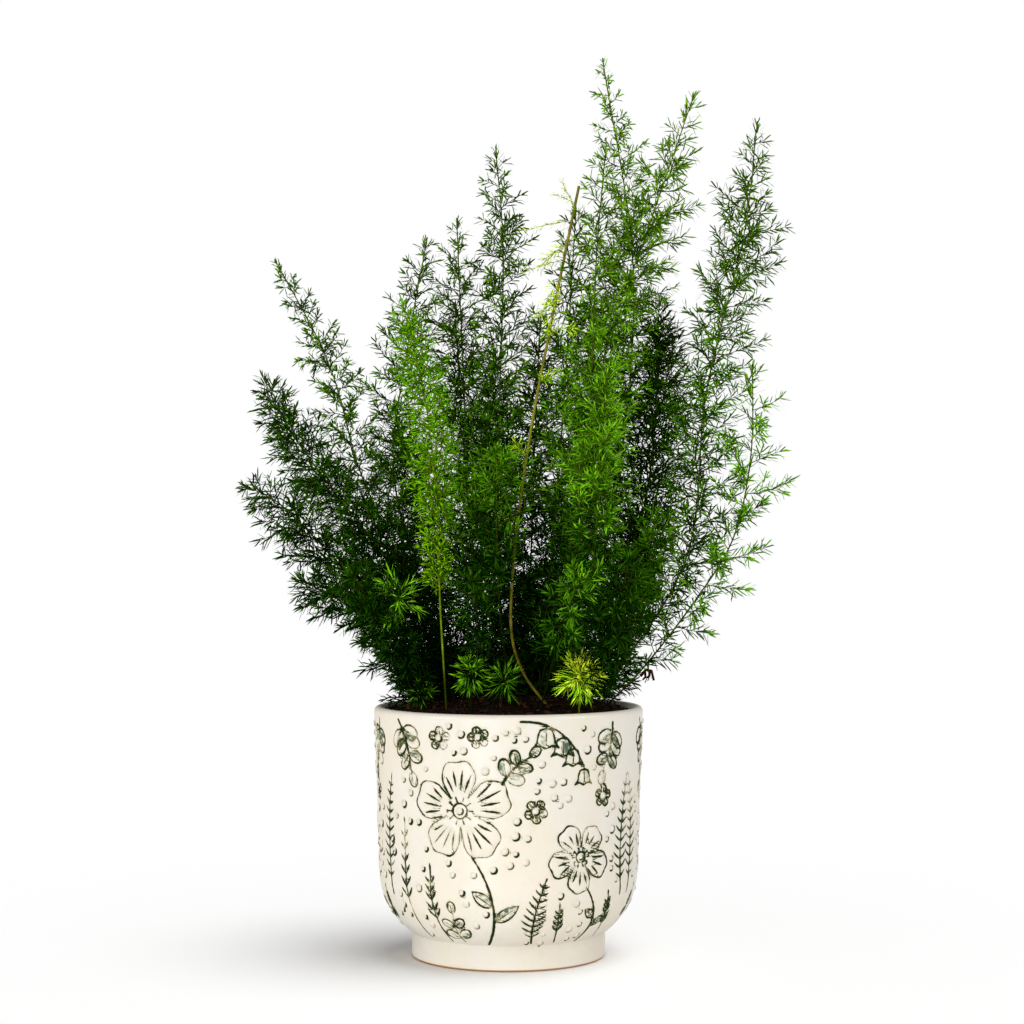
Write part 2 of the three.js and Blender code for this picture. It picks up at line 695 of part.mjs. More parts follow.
const glaze = new THREE.MeshStandardMaterial({ color: 0xf0e9da, roughness: 0.45, metalness: 0 });
const compost = new THREE.MeshStandardMaterial({ color: 0x2b1a10, roughness: 0.95, metalness: 0 });

addPart('pot', potGeometry(), glaze);
addPart('soil', soilGeometry(stems), compost);
for (const stem of stems) {
  const color = TONES[stem.spec.tone];
  const leaf = new THREE.MeshStandardMaterial({ color, roughness: 0.6, metalness: 0 });
  addPart(stem.spec.name, stem.growth.toGeometry(), leaf);
}

export default model;
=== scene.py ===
"""Foxtail fern in a glazed ceramic pot: feathery plumes of fine needles, their soil and their pot."""
import math

import bpy
import numpy as np
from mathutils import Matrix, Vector, noise


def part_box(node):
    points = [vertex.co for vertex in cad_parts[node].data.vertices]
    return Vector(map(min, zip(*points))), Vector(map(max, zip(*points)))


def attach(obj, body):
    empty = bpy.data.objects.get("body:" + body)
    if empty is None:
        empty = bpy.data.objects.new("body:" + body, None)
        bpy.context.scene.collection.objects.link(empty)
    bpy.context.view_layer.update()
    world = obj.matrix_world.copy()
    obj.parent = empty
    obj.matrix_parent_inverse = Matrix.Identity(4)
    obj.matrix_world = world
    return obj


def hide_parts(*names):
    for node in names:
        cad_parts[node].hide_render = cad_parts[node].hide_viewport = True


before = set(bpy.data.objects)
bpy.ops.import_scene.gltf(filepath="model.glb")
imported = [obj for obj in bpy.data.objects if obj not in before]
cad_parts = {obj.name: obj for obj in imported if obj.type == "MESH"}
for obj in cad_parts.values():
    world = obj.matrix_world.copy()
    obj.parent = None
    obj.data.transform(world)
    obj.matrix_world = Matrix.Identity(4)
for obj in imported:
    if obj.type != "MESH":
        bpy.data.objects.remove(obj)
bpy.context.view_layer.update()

bl_info = {
    "name": "Potted Foxtail Fern",
    "version": (1, 0, 0),
    "blender": (4, 5, 0),
    "location": "View3D > Sidebar > Fern",
    "description": "Builds a foxtail fern in a ceramic pot round its packed frame",
    "category": "Object",
}

MM = 0.001
GOLDEN_ANGLE = math.radians(137.5)
BODY = "root"
WELD_DISTANCE = 0.005 * MM

# ---------------------------------------------------------------- sizes and colours

# Pot, in millimetres: its rim and height as the frame has them, then its section
_, POT_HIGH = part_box("pot")
RIM_RADIUS = POT_HIGH[0] / MM
POT_HEIGHT = POT_HIGH[2] / MM
WALL = 5.0
INNER_RADIUS = RIM_RADIUS - WALL
FLOOR_THICKNESS = 8.0
FOOT_RADIUS = 51.1
FOOT_HEIGHT = 13.0
FOOT_EDGE = 1.4
SHOULDER_CORNER = (66.0, 24.0)
SHOULDER_TOP = (68.0, 42.0)
SHOULDER_LENGTH = 34.0
EDGE_POINTS = 5
LIP_POINTS = 9
# How far below the soil's edge the inside of the wall starts to curve in
INSIDE_DROP = 8.0
# How far inside the section's outline, and below the top of the foot, a vertex still counts as outside
SKIN = 0.4
FOOT_SKIN = 0.1

# Soil, in millimetres: its mound, the clods and grit on it, the calm strip along the wall, how far
# crumbs stay from the wall, the share of them that are fibres and how far out these lie
SOIL_EDGE_HEIGHT = 128.0
SOIL_CROWN_HEIGHT = 136.0
SOIL_DEPTH = 22.0
SOIL_GAP = 0.3
SOIL_TAPER = 2.0
SOIL_RINGS = 46
SOIL_COLUMNS = 180
SOIL_TOP_DEPTH = 4.0
CLOD_HEIGHT = 1.5
CLOD_FINENESS = 0.16
GRIT_HEIGHT = 0.5
GRIT_FINENESS = 0.9
CALM_EDGE = 5.0
CRUMB_MARGIN = 2.2
FIBRE_SHARE = 0.14
FIBRE_LIMIT = 54.0

# Relief, in millimetres on the unrolled wall: the height where its girth is measured, how often the
# pattern goes round and where it starts, the width of the line round a petal or a long leaf, and the
# distance that is stored where no mark is near
GIRTH_HEIGHT = 90.0
REPEATS = 3
PATTERN_START = 2.0
OUTLINE = 1.1
PETALS = 5
FAR = 9.0
# From a line's edge, where its groove is deepest and where it ends; the depth of the moat round a
# pearl as a part of a groove's, its width, and the height of a pad as a part of a pearl's
GROOVE_EDGES = (-0.35, 0.60)
MOAT_DEPTH = 0.4
MOAT_WIDTH = 0.5
PAD_HEIGHT = 0.6

# Stems, in millimetres: how far they go on below the soil, the points along one, the radius of a tip,
# the part below it without branches, and the spacing of the needles that grow on the stem itself
BURIED = 6.0
STEM_POINTS = 90
TIP_RADIUS = 0.3
TIP_LENGTH = 5.0
STEM_TUFT_SPACING = 3.2
# Side branches: the shortest that is grown, the shortest that carries twigs and the twigs' spacing
LEAST_REACH = 3.0
TWIGGED_LENGTH = 14
TWIG_SPACING = 7.0
# How near branches and needles come to the pot: from the inside of its wall, and over rim and soil
WALL_CLEARANCE = 1.5
RIM_CLEARANCE = 1.0
SOIL_CLEARANCE = 1.2
# Light, in millimetres: the heights between which needles grow young and leave the painted shade near the
# soil, how far to the right they do so lower down, the heights and distances from the axis between which
# the painted shade in the heart of the plant ends, and the heights between which tops turn olive and
# take on painted shade
YOUNG_AND_LIT_HEIGHTS = (150.0, 262.0)
OPEN_SIDE = (60.0, 85.0)
SHADED_HEART_HEIGHTS = (165.0, 265.0)
SHADED_HEART_RADII = (40.0, 95.0)
CREST_HEIGHTS = (250.0, 350.0)
# The right-hand side where stems stand in the light, in millimetres from the middle
LIT_SIDE = (52.0, 70.0)
# Needles of a young shoot, and those of the old stem's sprigs: along the thread and beside it
SHOOT_NEEDLE_WIDTH = 0.78
THREAD_NEEDLE_WIDTH = 0.45
SPRIG_NEEDLE_WIDTH = 0.62
# Old stem, in millimetres: the pieces it is drawn in, its radius at the foot and at the top, and its
# knots, one for every few pieces
OLD_STEM_PIECES = 120
OLD_STEM_RADII = (0.70, 0.72)
KNOT_HEIGHT = 0.12
KNOT_EVERY = 11
# The pieces of a shoot's stalk, and the points and radii of a sprig's thread
SHOOT_STALK_PIECES = 30
SPRIG_POINTS = 9
SPRIG_RADII = (0.14, 0.10)

# What starts the random draws; those of the stems are added to the foliage's own seed
RELIEF_SEED = 4
CRUMB_SEED = 5
DRY_SEED = 77
SHOOT_SEED = 100
OLD_STEM_SEED = 200

# Leafy stems, in millimetres: the node that each stands for, the tone of its needles, where it
# leaves the soil, the length of its longest side branch, the bare part of its length, how close its
# branches stand, the size of its needles and the points it passes through up to its tip
PLUMES = (
    ("lime_plume", "lime", (-32, -33), 15, 0.28, 2.1, 0.85,
     ((-35, -38, 185), (-37, -36, 240), (-43, -30, 291), (-56, -24, 345))),
    ("left_thick_plume", "dark", (-28, -8), 20, 0.07, 2.1, 0.95,
     ((-42, -10, 167), (-61, -12, 205), (-90, -15, 243), (-115, -18, 278), (-129, -20, 306))),
    ("left_tall_plume", "mid", (-22, 13), 20, 0.10, 0.95, 0.72,
     ((-58, 16, 209), (-80, 14, 257), (-92, 10, 302), (-101, 7, 325), (-124, 0, 368))),
    ("left_low_plume", "dark", (-38, 6), 25, 0.08, 1.5, 0.95,
     ((-63, 10, 171), (-97, 10, 213), (-124, 6, 240), (-143, 4, 249))),
    ("left_rim_plume", "dark", (-45, -12), 17, 0.10, 1.5, 0.95,
     ((-62, -24, 165), (-87, -32, 188), (-111, -36, 200))),
    ("left_curved_plume", "mid", (-22, 26), 25, 0.10, 0.78, 0.85,
     ((-45, 30, 187), (-62, 24, 256), (-54, 10, 322), (-43, 2, 380))),
    ("mid_left_plume", "mid", (-12, 34), 24, 0.08, 0.80, 0.80,
     ((-20, 38, 208), (-24, 32, 296), (-28, 20, 393))),
    ("centre_tall_plume", "mid", (-8, 15), 26, 0.07, 0.88, 0.8,
     ((-7, 20, 209), (-5, 18, 289), (-3, 8, 379), (-7, 2, 428))),
    ("tallest_plume", "fresh", (28, 20), 27, 0.10, 0.72, 0.66,
     ((51, 30, 208), (64, 30, 285), (67, 20, 370), (50, 6, 476))),
    ("right_leaning_plume", "fresh", (23, -3), 28, 0.07, 0.68, 0.98,
     ((37, -3, 203), (52, -10, 322), (71, -14, 376), (97, -18, 452))),
    ("mid_right_plume", "fresh", (15, -18), 25, 0.07, 0.62, 0.95,
     ((31, -28, 209), (42, -26, 292), (46, -20, 370), (51, -16, 425))),
    ("right_tall_plume", "mid", (46, 4), 28, 0.16, 0.90, 0.92,
     ((94, 0, 209), (104, -8, 297), (124, -12, 382), (130, -16, 438))),
    ("far_right_plume", "fresh", (50, -14), 25, 0.15, 0.50, 0.92,
     ((69, -18, 151), (98, -22, 189), (116, -26, 219), (125, -30, 262), (126, -30, 311))),
    ("right_back_plume", "dark", (44, 24), 28, 0.07, 1.75, 1,
     ((62, 34, 186), (78, 34, 262), (82, 28, 352))),
    ("right_rim_plume", "mid", (46, -27), 17, 0.18, 1.1, 1,
     ((60, -38, 160), (70, -45, 195), (76, -50, 235))),
    ("front_right_plume", "fresh", (29, -33), 22, 0.10, 0.88, 1,
     ((41, -46, 189), (46, -50, 250), (50, -44, 305))),
    ("mid_back_plume", "mid", (11, 8), 24, 0.07, 0.70, 1,
     ((23, 14, 209), (30, 12, 300), (36, 4, 396))),
    ("centre_back_plume", "dark", (5, 30), 24, 0.07, 1.25, 1,
     ((11, 36, 187), (14, 36, 263), (17, 30, 339))),
    ("front_middle_plume", "mid", (2, -32), 18, 0.45, 1.15, 1,
     ((-4, -46, 178), (-6, -54, 222), (-6, -54, 268))),
    ("front_thin_plume", "mid", (-20, -38), 14, 0.42, 1.1, 1,
     ((-21, -46, 168), (-20, -50, 209), (-18, -48, 254))),
    ("front_low_right_plume", "fresh", (16, -44), 15, 0.42, 1, 1,
     ((26, -72, 172), (37, -96, 204))),
    ("front_low_middle_plume", "dark", (-7, -42), 15, 0.42, 1.0, 1,
     ((-14, -68, 168), (-18, -92, 202))),
    ("front_side_right_plume", "dark", (37, -31), 18, 0.14, 1.2, 1,
     ((52, -62, 170), (60, -84, 214))),
    ("front_side_left_plume", "dark", (-41, -26), 20, 0.10, 1.3, 1,
     ((-62, -46, 170), (-80, -62, 206))),
    ("back_left_plume", "dark", (-25, 37), 26, 0.05, 1.5, 1,
     ((-42, 70, 205), (-66, 92, 300))),
    ("back_middle_plume", "mid", (-1, 44), 26, 0.05, 1.4, 1,
     ((-6, 80, 215), (-8, 98, 330))),
    ("back_right_plume", "mid", (22, 40), 26, 0.05, 1.3, 1,
     ((38, 74, 210), (54, 94, 318))),
    ("back_low_left_plume", "dark", (-36, 28), 23, 0.06, 1.5, 1,
     ((-64, 62, 175), (-92, 88, 214))),
    ("back_low_middle_plume", "fresh", (9, 49), 22, 0.06, 1.5, 1,
     ((10, 84, 165), (10, 120, 196))),
    ("back_low_right_plume", "fresh", (36, 34), 21, 0.06, 1.2, 1,
     ((64, 64, 180), (80, 86, 238))),
    ("back_tall_right_plume", "mid", (15, 27), 25, 0.05, 0.7, 1,
     ((40, 58, 240), (64, 56, 390))),
    ("back_tall_left_plume", "dark", (-13, 45), 24, 0.05, 0.8, 1,
     ((-22, 64, 230), (-30, 60, 352))),
)
OLD_STEM = ("old_woody_stem", (19, -24),
            ((8, -34, 150), (2, -38, 168), (2, -34, 200), (11, -26, 272), (25, -16, 346), (37, -10, 405)))
# Its sprigs: the height at which each leaves the stem, where it ends and the length of its needles
OLD_STEM_SPRIGS = (
    (393, (28, -14, 406), 3.0), (396, (24, -13, 400), 2.6), (386, (10, -16, 381), 3.8),
    (376, (17, -18, 362), 4.6), (372, (20, -20, 366), 4.2), (366, (9, -18, 359), 3.2),
    (357, (20, -22, 343), 5.0), (352, (24, -24, 340), 4.6), (344, (16, -24, 336), 4.8),
    (338, (20, -26, 326), 4.6), (329, (34, -32, 328), 4.4), (300, (25, -36, 306), 4.4),
    (262, (4, -40, 268), 5.0), (225, (-4, -46, 232), 4.6),
)
# Young shoots: node, tone, where each leaves the soil, the middle of its head, the thickness of its
# stalk, the number of arms in its head, the length of an arm, the length of its needles, how young its
# top is and how much older its lowest arms are
SHOOTS = (
    ("yellow_shoot", "yellow", (36, -43), (36, -51, 151), 0.42, 22, 8.5, 9.5, 1.0, 1.0),
    ("green_shoot", "fresh", (-19, -48), (-19, -56, 153), 0.42, 20, 5.5, 8.5, 0.42, 0.25),
    ("second_green_shoot", "fresh", (-4, -53), (-2, -60, 150), 0.36, 9, 6.0, 9.0, 0.42, 0.25),
    ("rim_shoot", "fresh", (-47, -22), (-45, -30, 141), 0.36, 10, 5.0, 8.5, 0.42, 0.25),
    ("star_shoot", "fresh", (-36, -41), (-56, -54, 192), 0.22, 9, 11.0, 9.5, 0.95, 0.25),
)

# The dry sprig low on the right: the thickness and the points of each of its twigs
DRY_TWIGS = (
    (0.95, (68.6, -20, 148.2), (71.6, -20, 151.6), (74.4, -20.4, 151.0), (75.6, -21, 146)),
    (0.30, (58, -20, 140), (64.5, -20, 145), (68.6, -20, 148.2)),
    (0.80, (71, -20, 150.8), (71.3, -20.5, 147.8), (69.8, -21, 146.4)),
    (0.80, (73.4, -20.4, 151.4), (73.3, -21, 148.6), (72.0, -21.4, 147.4)),
)

# Colours of the stems, dark and pale, and the heights between which they come out of the painted shade low in
# the plant
STEM_TONES = {
    "lime": ((0.090, 0.140, 0.004), (0.180, 0.260, 0.008), 143.0, 165.0),
    "yellow": ((0.450, 0.520, 0.012), (0.700, 0.780, 0.030), 136.0, 148.0),
    "other": ((0.022, 0.036, 0.003), (0.065, 0.098, 0.007), 170.0, 250.0),
}
# Colours of the needles, new growth first
TONES = {
    "dark": ((0.030, 0.108, 0.002), (0.006, 0.030, 0.001)),
    "mid": ((0.094, 0.285, 0.004), (0.008, 0.042, 0.0015)),
    "fresh": ((0.175, 0.470, 0.009), (0.014, 0.070, 0.002)),
    "lime": ((0.115, 0.350, 0.003), (0.180, 0.430, 0.003)),
    "yellow": ((0.900, 1.000, 0.055), (0.190, 0.620, 0.008)),
}
# How strongly the tops of tall plumes turn olive and take on painted shade, where that is not in full, and
# what dyes them so
OLIVE_AND_SHADE_CREST = {"fresh": 0.5, "mid": 0.6, "lime": 0.0}
OLIVE_AND_SHADE_DYE = (0.80, 0.50, 0.90)
# Colours of the glaze's stain, of its wash inside leaves and petals and of the bare foot
THIN_STAIN = (0.135, 0.125, 0.034)
SMUDGE = (0.36, 0.37, 0.22)
PALE_WASH = (0.17, 0.20, 0.085)
DEEP_WASH = (0.010, 0.055, 0.032)
BARE_CLAY = (0.34, 0.17, 0.07)
# Colours of the old stem, of the dry sprig and of bark among the compost
WOOD_DARK = (0.060, 0.048, 0.004)
WOOD_PALE = (0.19, 0.165, 0.020)
WOOD_GREEN = (0.14, 0.15, 0.015)
DRY_DARK = (0.010, 0.0020, 0.0012)
DRY_PALE = (0.040, 0.008, 0.004)
BARK = (0.060, 0.024, 0.011)

# Stage: the floor's size, how strongly the white room lights the object, and the camera's shift
FLOOR_SIZE = 30.0
ROOM_LIGHT = 0.42
SENSOR_WIDTH = 36.0
CAMERA_SHIFT = (0.0034, 0.035)
# Soft lamps: where each hangs, what it is turned to, its size in metres, its power and its colour
LAMPS = {
    "key": ((-1.3, -0.8, 0.8), (0.0, 0.0, 0.22), 0.6, 13.6, (1.0, 0.99, 0.965)),
    "front": ((-0.7, -1.7, 0.14), (0.0, 0.0, 0.10), 0.8, 20.0, (1.0, 1.0, 1.0)),
    "side": ((1.3, -0.6, 0.9), (0.0, 0.0, 0.22), 0.9, 18.5, (0.97, 0.985, 1.0)),
    "bounce": ((-0.01, -0.16, -0.06), (0.0, -0.05, 0.02), 0.18, 0.05, (1.0, 0.985, 0.95)),
    "leaf_lamp": ((-0.6, -1.4, 1.0), (0.0, 0.0, 0.32), 0.6, 8.5, (1.0, 1.0, 1.0)),
}
# The wide lamp that lights the floor alone
FLOOR_LAMP_PLACE = (1.0, -0.24, 2.55)
FLOOR_LAMP_POWER = 2.42
FLOOR_LAMP_SPREAD = math.radians(58.0)


# ---------------------------------------------------------------- settings

def length_property(name, description, default):
    return bpy.props.FloatProperty(
        name=name, description=description, default=default, min=0.0, subtype="DISTANCE", unit="LENGTH",
        precision=5)


def colour_property(name, description, default):
    return bpy.props.FloatVectorProperty(
        name=name, description=description, default=default, size=3, min=0.0, max=1.0, subtype="COLOR")


class PotSettings(bpy.types.PropertyGroup):
    columns: bpy.props.IntProperty(
        name="Columns", description="Faces round the pot", default=600, min=32, max=800)
    row_height: length_property("Row height", "Height of the faces of the decorated wall", 0.95 * MM)
    groove_depth: length_property("Groove depth", "Depth of the drawn lines", 0.4 * MM)
    bump_height: length_property("Bump height", "Height of the raised dots", 0.85 * MM)
    glaze: colour_property("Glaze", "Cream glaze of the pot", (0.55, 0.518, 0.462))
    stain: colour_property("Stain", "Green pigment in the lines", (0.002, 0.014, 0.005))


class SoilSettings(bpy.types.PropertyGroup):
    crumbs: bpy.props.IntProperty(
        name="Crumbs", description="Number of loose crumbs on the soil", default=1300, min=0, max=4000)
    crumb_size: length_property("Crumb size", "Size of the largest crumbs", 3.2 * MM)
    colour: colour_property("Colour", "Damp compost", (0.0055, 0.0026, 0.0016))


class FoliageSettings(bpy.types.PropertyGroup):
    branch_spacing: length_property("Branch spacing", "Along a stem, between side branches", 3.1 * MM)
    node_spacing: length_property("Node spacing", "Along a branch, between tufts of needles", 2.6 * MM)
    needles_per_node: bpy.props.IntProperty(
        name="Needles per node", description="Needles in one tuft", default=4, min=1, max=8)
    needle_length: length_property("Needle length", "Length of a full-grown needle", 9.2 * MM)
    needle_width: length_property("Needle width", "Width of a full-grown needle", 1.14 * MM)
    stem_radius: length_property("Stem radius", "Radius of a stem at the soil", 0.58 * MM)
    branch_radius: length_property("Branch radius", "Radius of a side branch at its root", 0.30 * MM)
    seed: bpy.props.IntProperty(name="Seed", description="Starts the random draws", default=11)


class StageSettings(bpy.types.PropertyGroup):
    distance: length_property("Distance", "From the pot's axis to the camera", 1.15)
    height: length_property("Height", "Height of the camera above the floor", 0.215)
    lens: bpy.props.FloatProperty(
        name="Lens", description="Focal length in millimetres on a 36 mm sensor", default=76.3)
    floor: colour_property("Floor", "Colour of the plain floor", (0.90, 0.90, 0.90))


# ---------------------------------------------------------------- mesh helpers

def deselect_all():
    """Leaves edit mode and selects nothing, so that the next operator acts on its own piece alone."""
    if bpy.context.object and bpy.context.object.mode != "OBJECT":
        bpy.ops.object.mode_set(mode="OBJECT")
    bpy.ops.object.select_all(action="DESELECT")


def make_active(piece):
    deselect_all()
    piece.select_set(True)
    bpy.context.view_layer.objects.active = piece


def settle(piece, name, nodes, material=None):
    """Names a finished piece, hangs it on the frame and gives it its finish."""
    piece.name = name
    piece.data.name = name
    if material:
        piece.data.materials.clear()
        piece.data.materials.append(material)
    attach(piece, BODY)
    if nodes:
        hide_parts(*nodes)


def coordinates(mesh):
    """The places of a mesh's vertices, one in each row."""
    places = np.empty(len(mesh.vertices) * 3)
    mesh.vertices.foreach_get("co", places)
    return places.reshape(-1, 3)


def set_coordinates(mesh, places):
    mesh.vertices.foreach_set("co", places.astype(np.float32).ravel())
    mesh.update()


def set_attribute(mesh, name, values):
    """Stores one number for each vertex, for the materials to read."""
    layer = mesh.attributes.get(name) or mesh.attributes.new(name, "FLOAT", "POINT")
    layer.data.foreach_set("value", np.asarray(values, dtype=np.float32))


def set_vectors(mesh, name, values):
    """Stores a flat vector for each vertex, for the materials to read."""
    layer = mesh.attributes.new(name, "FLOAT_VECTOR", "POINT")
    vectors = np.column_stack((values, np.zeros(len(values))))
    layer.data.foreach_set("vector", vectors.astype(np.float32).ravel())


def triangle_mesh(name, places, triangles):
    """A mesh of plain triangles from arrays, which is quick for many thousands of them."""
    mesh = bpy.data.meshes.new(name)
    count = len(triangles)
    mesh.vertices.add(len(places))
    mesh.vertices.foreach_set("co", places.astype(np.float32).ravel())
    mesh.loops.add(count * 3)
    mesh.loops.foreach_set("vertex_index", triangles.astype(np.int32).ravel())
    mesh.polygons.add(count)
    mesh.polygons.foreach_set("loop_start", np.arange(count, dtype=np.int32) * 3)
    mesh.polygons.foreach_set("use_smooth", np.ones(count, dtype=bool))
    mesh.update()
    return mesh


def copies_mesh(name, places, triangles):
    """One mesh of many copies of a small shape, from the places of each copy's vertices in millimetres."""
    offsets = np.arange(len(places))[:, None, None] * places.shape[1]
    return triangle_mesh(name, places.reshape(-1, 3) * MM, (triangles[None] + offsets).reshape(-1, 3))


def spun_profile(profile, columns):
    """Pulls a chain of vertices along a profile of (radius, height) and spins it about the Z axis."""
    deselect_all()
    start = (profile[0][0], 0.0, profile[0][1])
    bpy.ops.mesh.primitive_circle_add(vertices=3, radius=0.1 * MM, location=start)
    bpy.ops.object.mode_set(mode="EDIT")
    bpy.ops.mesh.select_all(action="SELECT")
    bpy.ops.mesh.merge(type="CENTER")
    for (radius, height), (next_radius, next_height) in zip(profile, profile[1:]):
        step = (next_radius - radius, 0.0, next_height - height)
        bpy.ops.mesh.extrude_vertices_move(TRANSFORM_OT_translate={"value": step})
    bpy.ops.mesh.select_all(action="SELECT")
    bpy.ops.mesh.spin(steps=columns, angle=2 * math.pi, center=(0, 0, 0), axis=(0, 0, 1))
    bpy.ops.mesh.select_all(action="SELECT")
    bpy.ops.mesh.remove_doubles(threshold=WELD_DISTANCE)
    bpy.ops.mesh.normals_make_consistent(inside=False)
    bpy.ops.object.mode_set(mode="OBJECT")
    bpy.ops.object.transform_apply(location=True, rotation=True, scale=True)
    bpy.ops.object.shade_smooth()
    return bpy.context.object


def smooth_step(low, high, values):
    """0 below low, 1 above high and an even S between them."""
    part = np.clip((values - low) / (high - low), 0.0, 1.0)
    return part * part * (3.0 - 2.0 * part)


def travelled(points):
    """How far each point of a line is along it."""
    return np.concatenate(([0.0], np.cumsum(np.linalg.norm(np.diff(points, axis=0), axis=1))))


def at_stations(stations, scale, values):
    """Values along a line, read off at other stations of it."""
    return np.column_stack([np.interp(stations, scale, values[:, axis]) for axis in range(values.shape[1])])


# ---------------------------------------------------------------- pot

def wall_radius(height):
    """Radius of the slanting wall above the shoulder, in millimetres."""
    rise = (height - SHOULDER_TOP[1]) / (POT_HEIGHT - SHOULDER_TOP[1])
    return SHOULDER_TOP[0] + (RIM_RADIUS - SHOULDER_TOP[0]) * rise


def quadratic(start, corner, end, steps):
    """Points of a quadratic curve, without its first one."""
    start, corner, end = (np.array(point, dtype=float) for point in (start, corner, end))
    points = []
    for i in range(1, steps + 1):
        t = i / steps
        points.append(tuple((1 - t) ** 2 * start + 2 * t * (1 - t) * corner + t * t * end))
    return points


def outer_profile(row_height):
    """The outside of the pot from its foot to its lip, in rows of even height."""
    foot = (FOOT_RADIUS, FOOT_HEIGHT)
    shoulder_steps = round(SHOULDER_LENGTH / row_height)
    points = [foot] + quadratic(foot, SHOULDER_CORNER, SHOULDER_TOP, shoulder_steps)
    top = POT_HEIGHT - WALL / 2
    wall_steps = round((top - SHOULDER_TOP[1]) / row_height)
    for i in range(1, wall_steps + 1):
        height = SHOULDER_TOP[1] + (top - SHOULDER_TOP[1]) * i / wall_steps
        points.append((wall_radius(height), height))
    return points


def pot_profile(row_height):
    """The whole section of the pot, from the middle of its base round to the middle of its floor."""
    outside = outer_profile(row_height)
    edge = [(FOOT_RADIUS - FOOT_EDGE * (1 - math.sin(a)), FOOT_EDGE * (1 - math.cos(a)))
            for a in np.linspace(0, math.pi / 2, EDGE_POINTS)]
    lip_radius, lip_height = WALL / 2, outside[-1][1]
    lip_centre = outside[-1][0] - lip_radius
    lip = [(lip_centre + lip_radius * math.cos(a), lip_height + lip_radius * math.sin(a))
           for a in np.linspace(0, math.pi, LIP_POINTS)[1:]]
    inside_top = lip[-1]
    straight_end = SOIL_EDGE_HEIGHT - INSIDE_DROP
    inside = [
        (wall_radius(straight_end) - WALL, straight_end),
        (SHOULDER_CORNER[0] - WALL, SHOULDER_TOP[1] - WALL),
        (FOOT_RADIUS - WALL, FLOOR_THICKNESS),
        (0.0, FLOOR_THICKNESS),
    ]
    middle_wall = ((inside_top[0] + inside[0][0]) / 2, (inside_top[1] + inside[0][1]) / 2)
    return [(0.0, 0.0)] + edge + outside + lip + [middle_wall] + inside


class Relief:
    """Lines, dots and pads drawn on the unrolled wall, in millimetres: (along the girth, up the wall)."""

    # Every line is drawn this much finer than the width it is given
    FINENESS = 0.78

    def __init__(self, random):
        self.random = random
        self.ink = 1.0
        self.strokes = []
        self.dots = []
        self.pads = []

    def dip(self, least=0.2, most=1.0):
        """Takes up fresh pigment, more or less of it, for the lines that follow."""
        self.ink = self.random.uniform(least, most)

    def line(self, points, width):
        """A pressed line through points; width is one number or one for each point."""
        points = np.asarray(points, dtype=float)
        widths = np.broadcast_to(np.asarray(width, dtype=float), (len(points),))
        self.strokes.append((points, self.FINENESS * widths / 2, self.ink))

    def curve(self, start, bend, end, width, steps=10):
        points = [tuple(start)] + quadratic(start, bend, end, steps)
        self.line(points, width)
        return np.array(points)

    def dot(self, place, radius):
        self.dots.append((place[0], place[1], radius, self.random.uniform(0.0, 1.0)))

    def pad(self, centre, angle, length, breadth, wash, ahead, aside):
        """A softly raised oval, washed with colour more at its far end or on one of its sides."""
        self.pads.append((centre[0], centre[1], angle, length / 2, breadth / 2, wash, ahead, aside))

    def leaf_pad(self, centre, angle, length, breadth):
        """A pad inside a leaf, washed more strongly where its lines carry more pigment."""
        wash = self.random.uniform(0.5, 1.7) * (0.4 + 0.6 * self.ink)
        self.pad(centre, angle, length, breadth, wash, -0.2, self.random.choice((-0.8, 0.8)))


def polar(centre, angle, distance):
    """The point at a distance from a centre, in the direction of an angle."""
    return np.array((centre[0] + distance * math.cos(angle), centre[1] + distance * math.sin(angle)))


def petal(relief, heart, angle, spread, inner, outer, veins):
    """A rounded petal seen flat, with veins that run out from the heart of its flower."""
    relief.dip(0.1, 0.75)
    across = np.linspace(-1, 1, 19)
    ripple = 1 + 0.035 * np.sin(9 * across + relief.random.uniform(0, 6))
    reach = inner + (outer - inner) * (1 - np.abs(across) ** 2.8) ** 0.5 * ripple
    relief.line([polar(heart, angle + spread * a, r) for a, r in zip(across, reach)], OUTLINE)
    relief.dip(0.45)
    for i in range(veins):
        place = (2 * (i + 0.5) / veins - 1) * 0.80
        full = inner + (outer - inner) * (1 - abs(place) ** 2.8) ** 0.5
        end = inner + (full - inner) * relief.random.uniform(0.62, 0.86)
        start = inner + (full - inner) * relief.random.uniform(0.10, 0.26)
        bend = polar(heart, angle + spread * place * 0.90, (start + end) / 2)
        widths = OUTLINE * np.array((0.35, 0.8, 1.15, 1.3, 1.15, 0.8, 0.35))
        relief.curve(polar(heart, angle + spread * place * 0.84, start), bend,
                     polar(heart, angle + spread * place, end), widths, steps=6)
    relief.pad(polar(heart, angle, (inner + outer) / 2), angle, (outer - inner) * 0.95,
               (outer + inner) * spread * 0.8, 0.22, -0.65, 0.0)


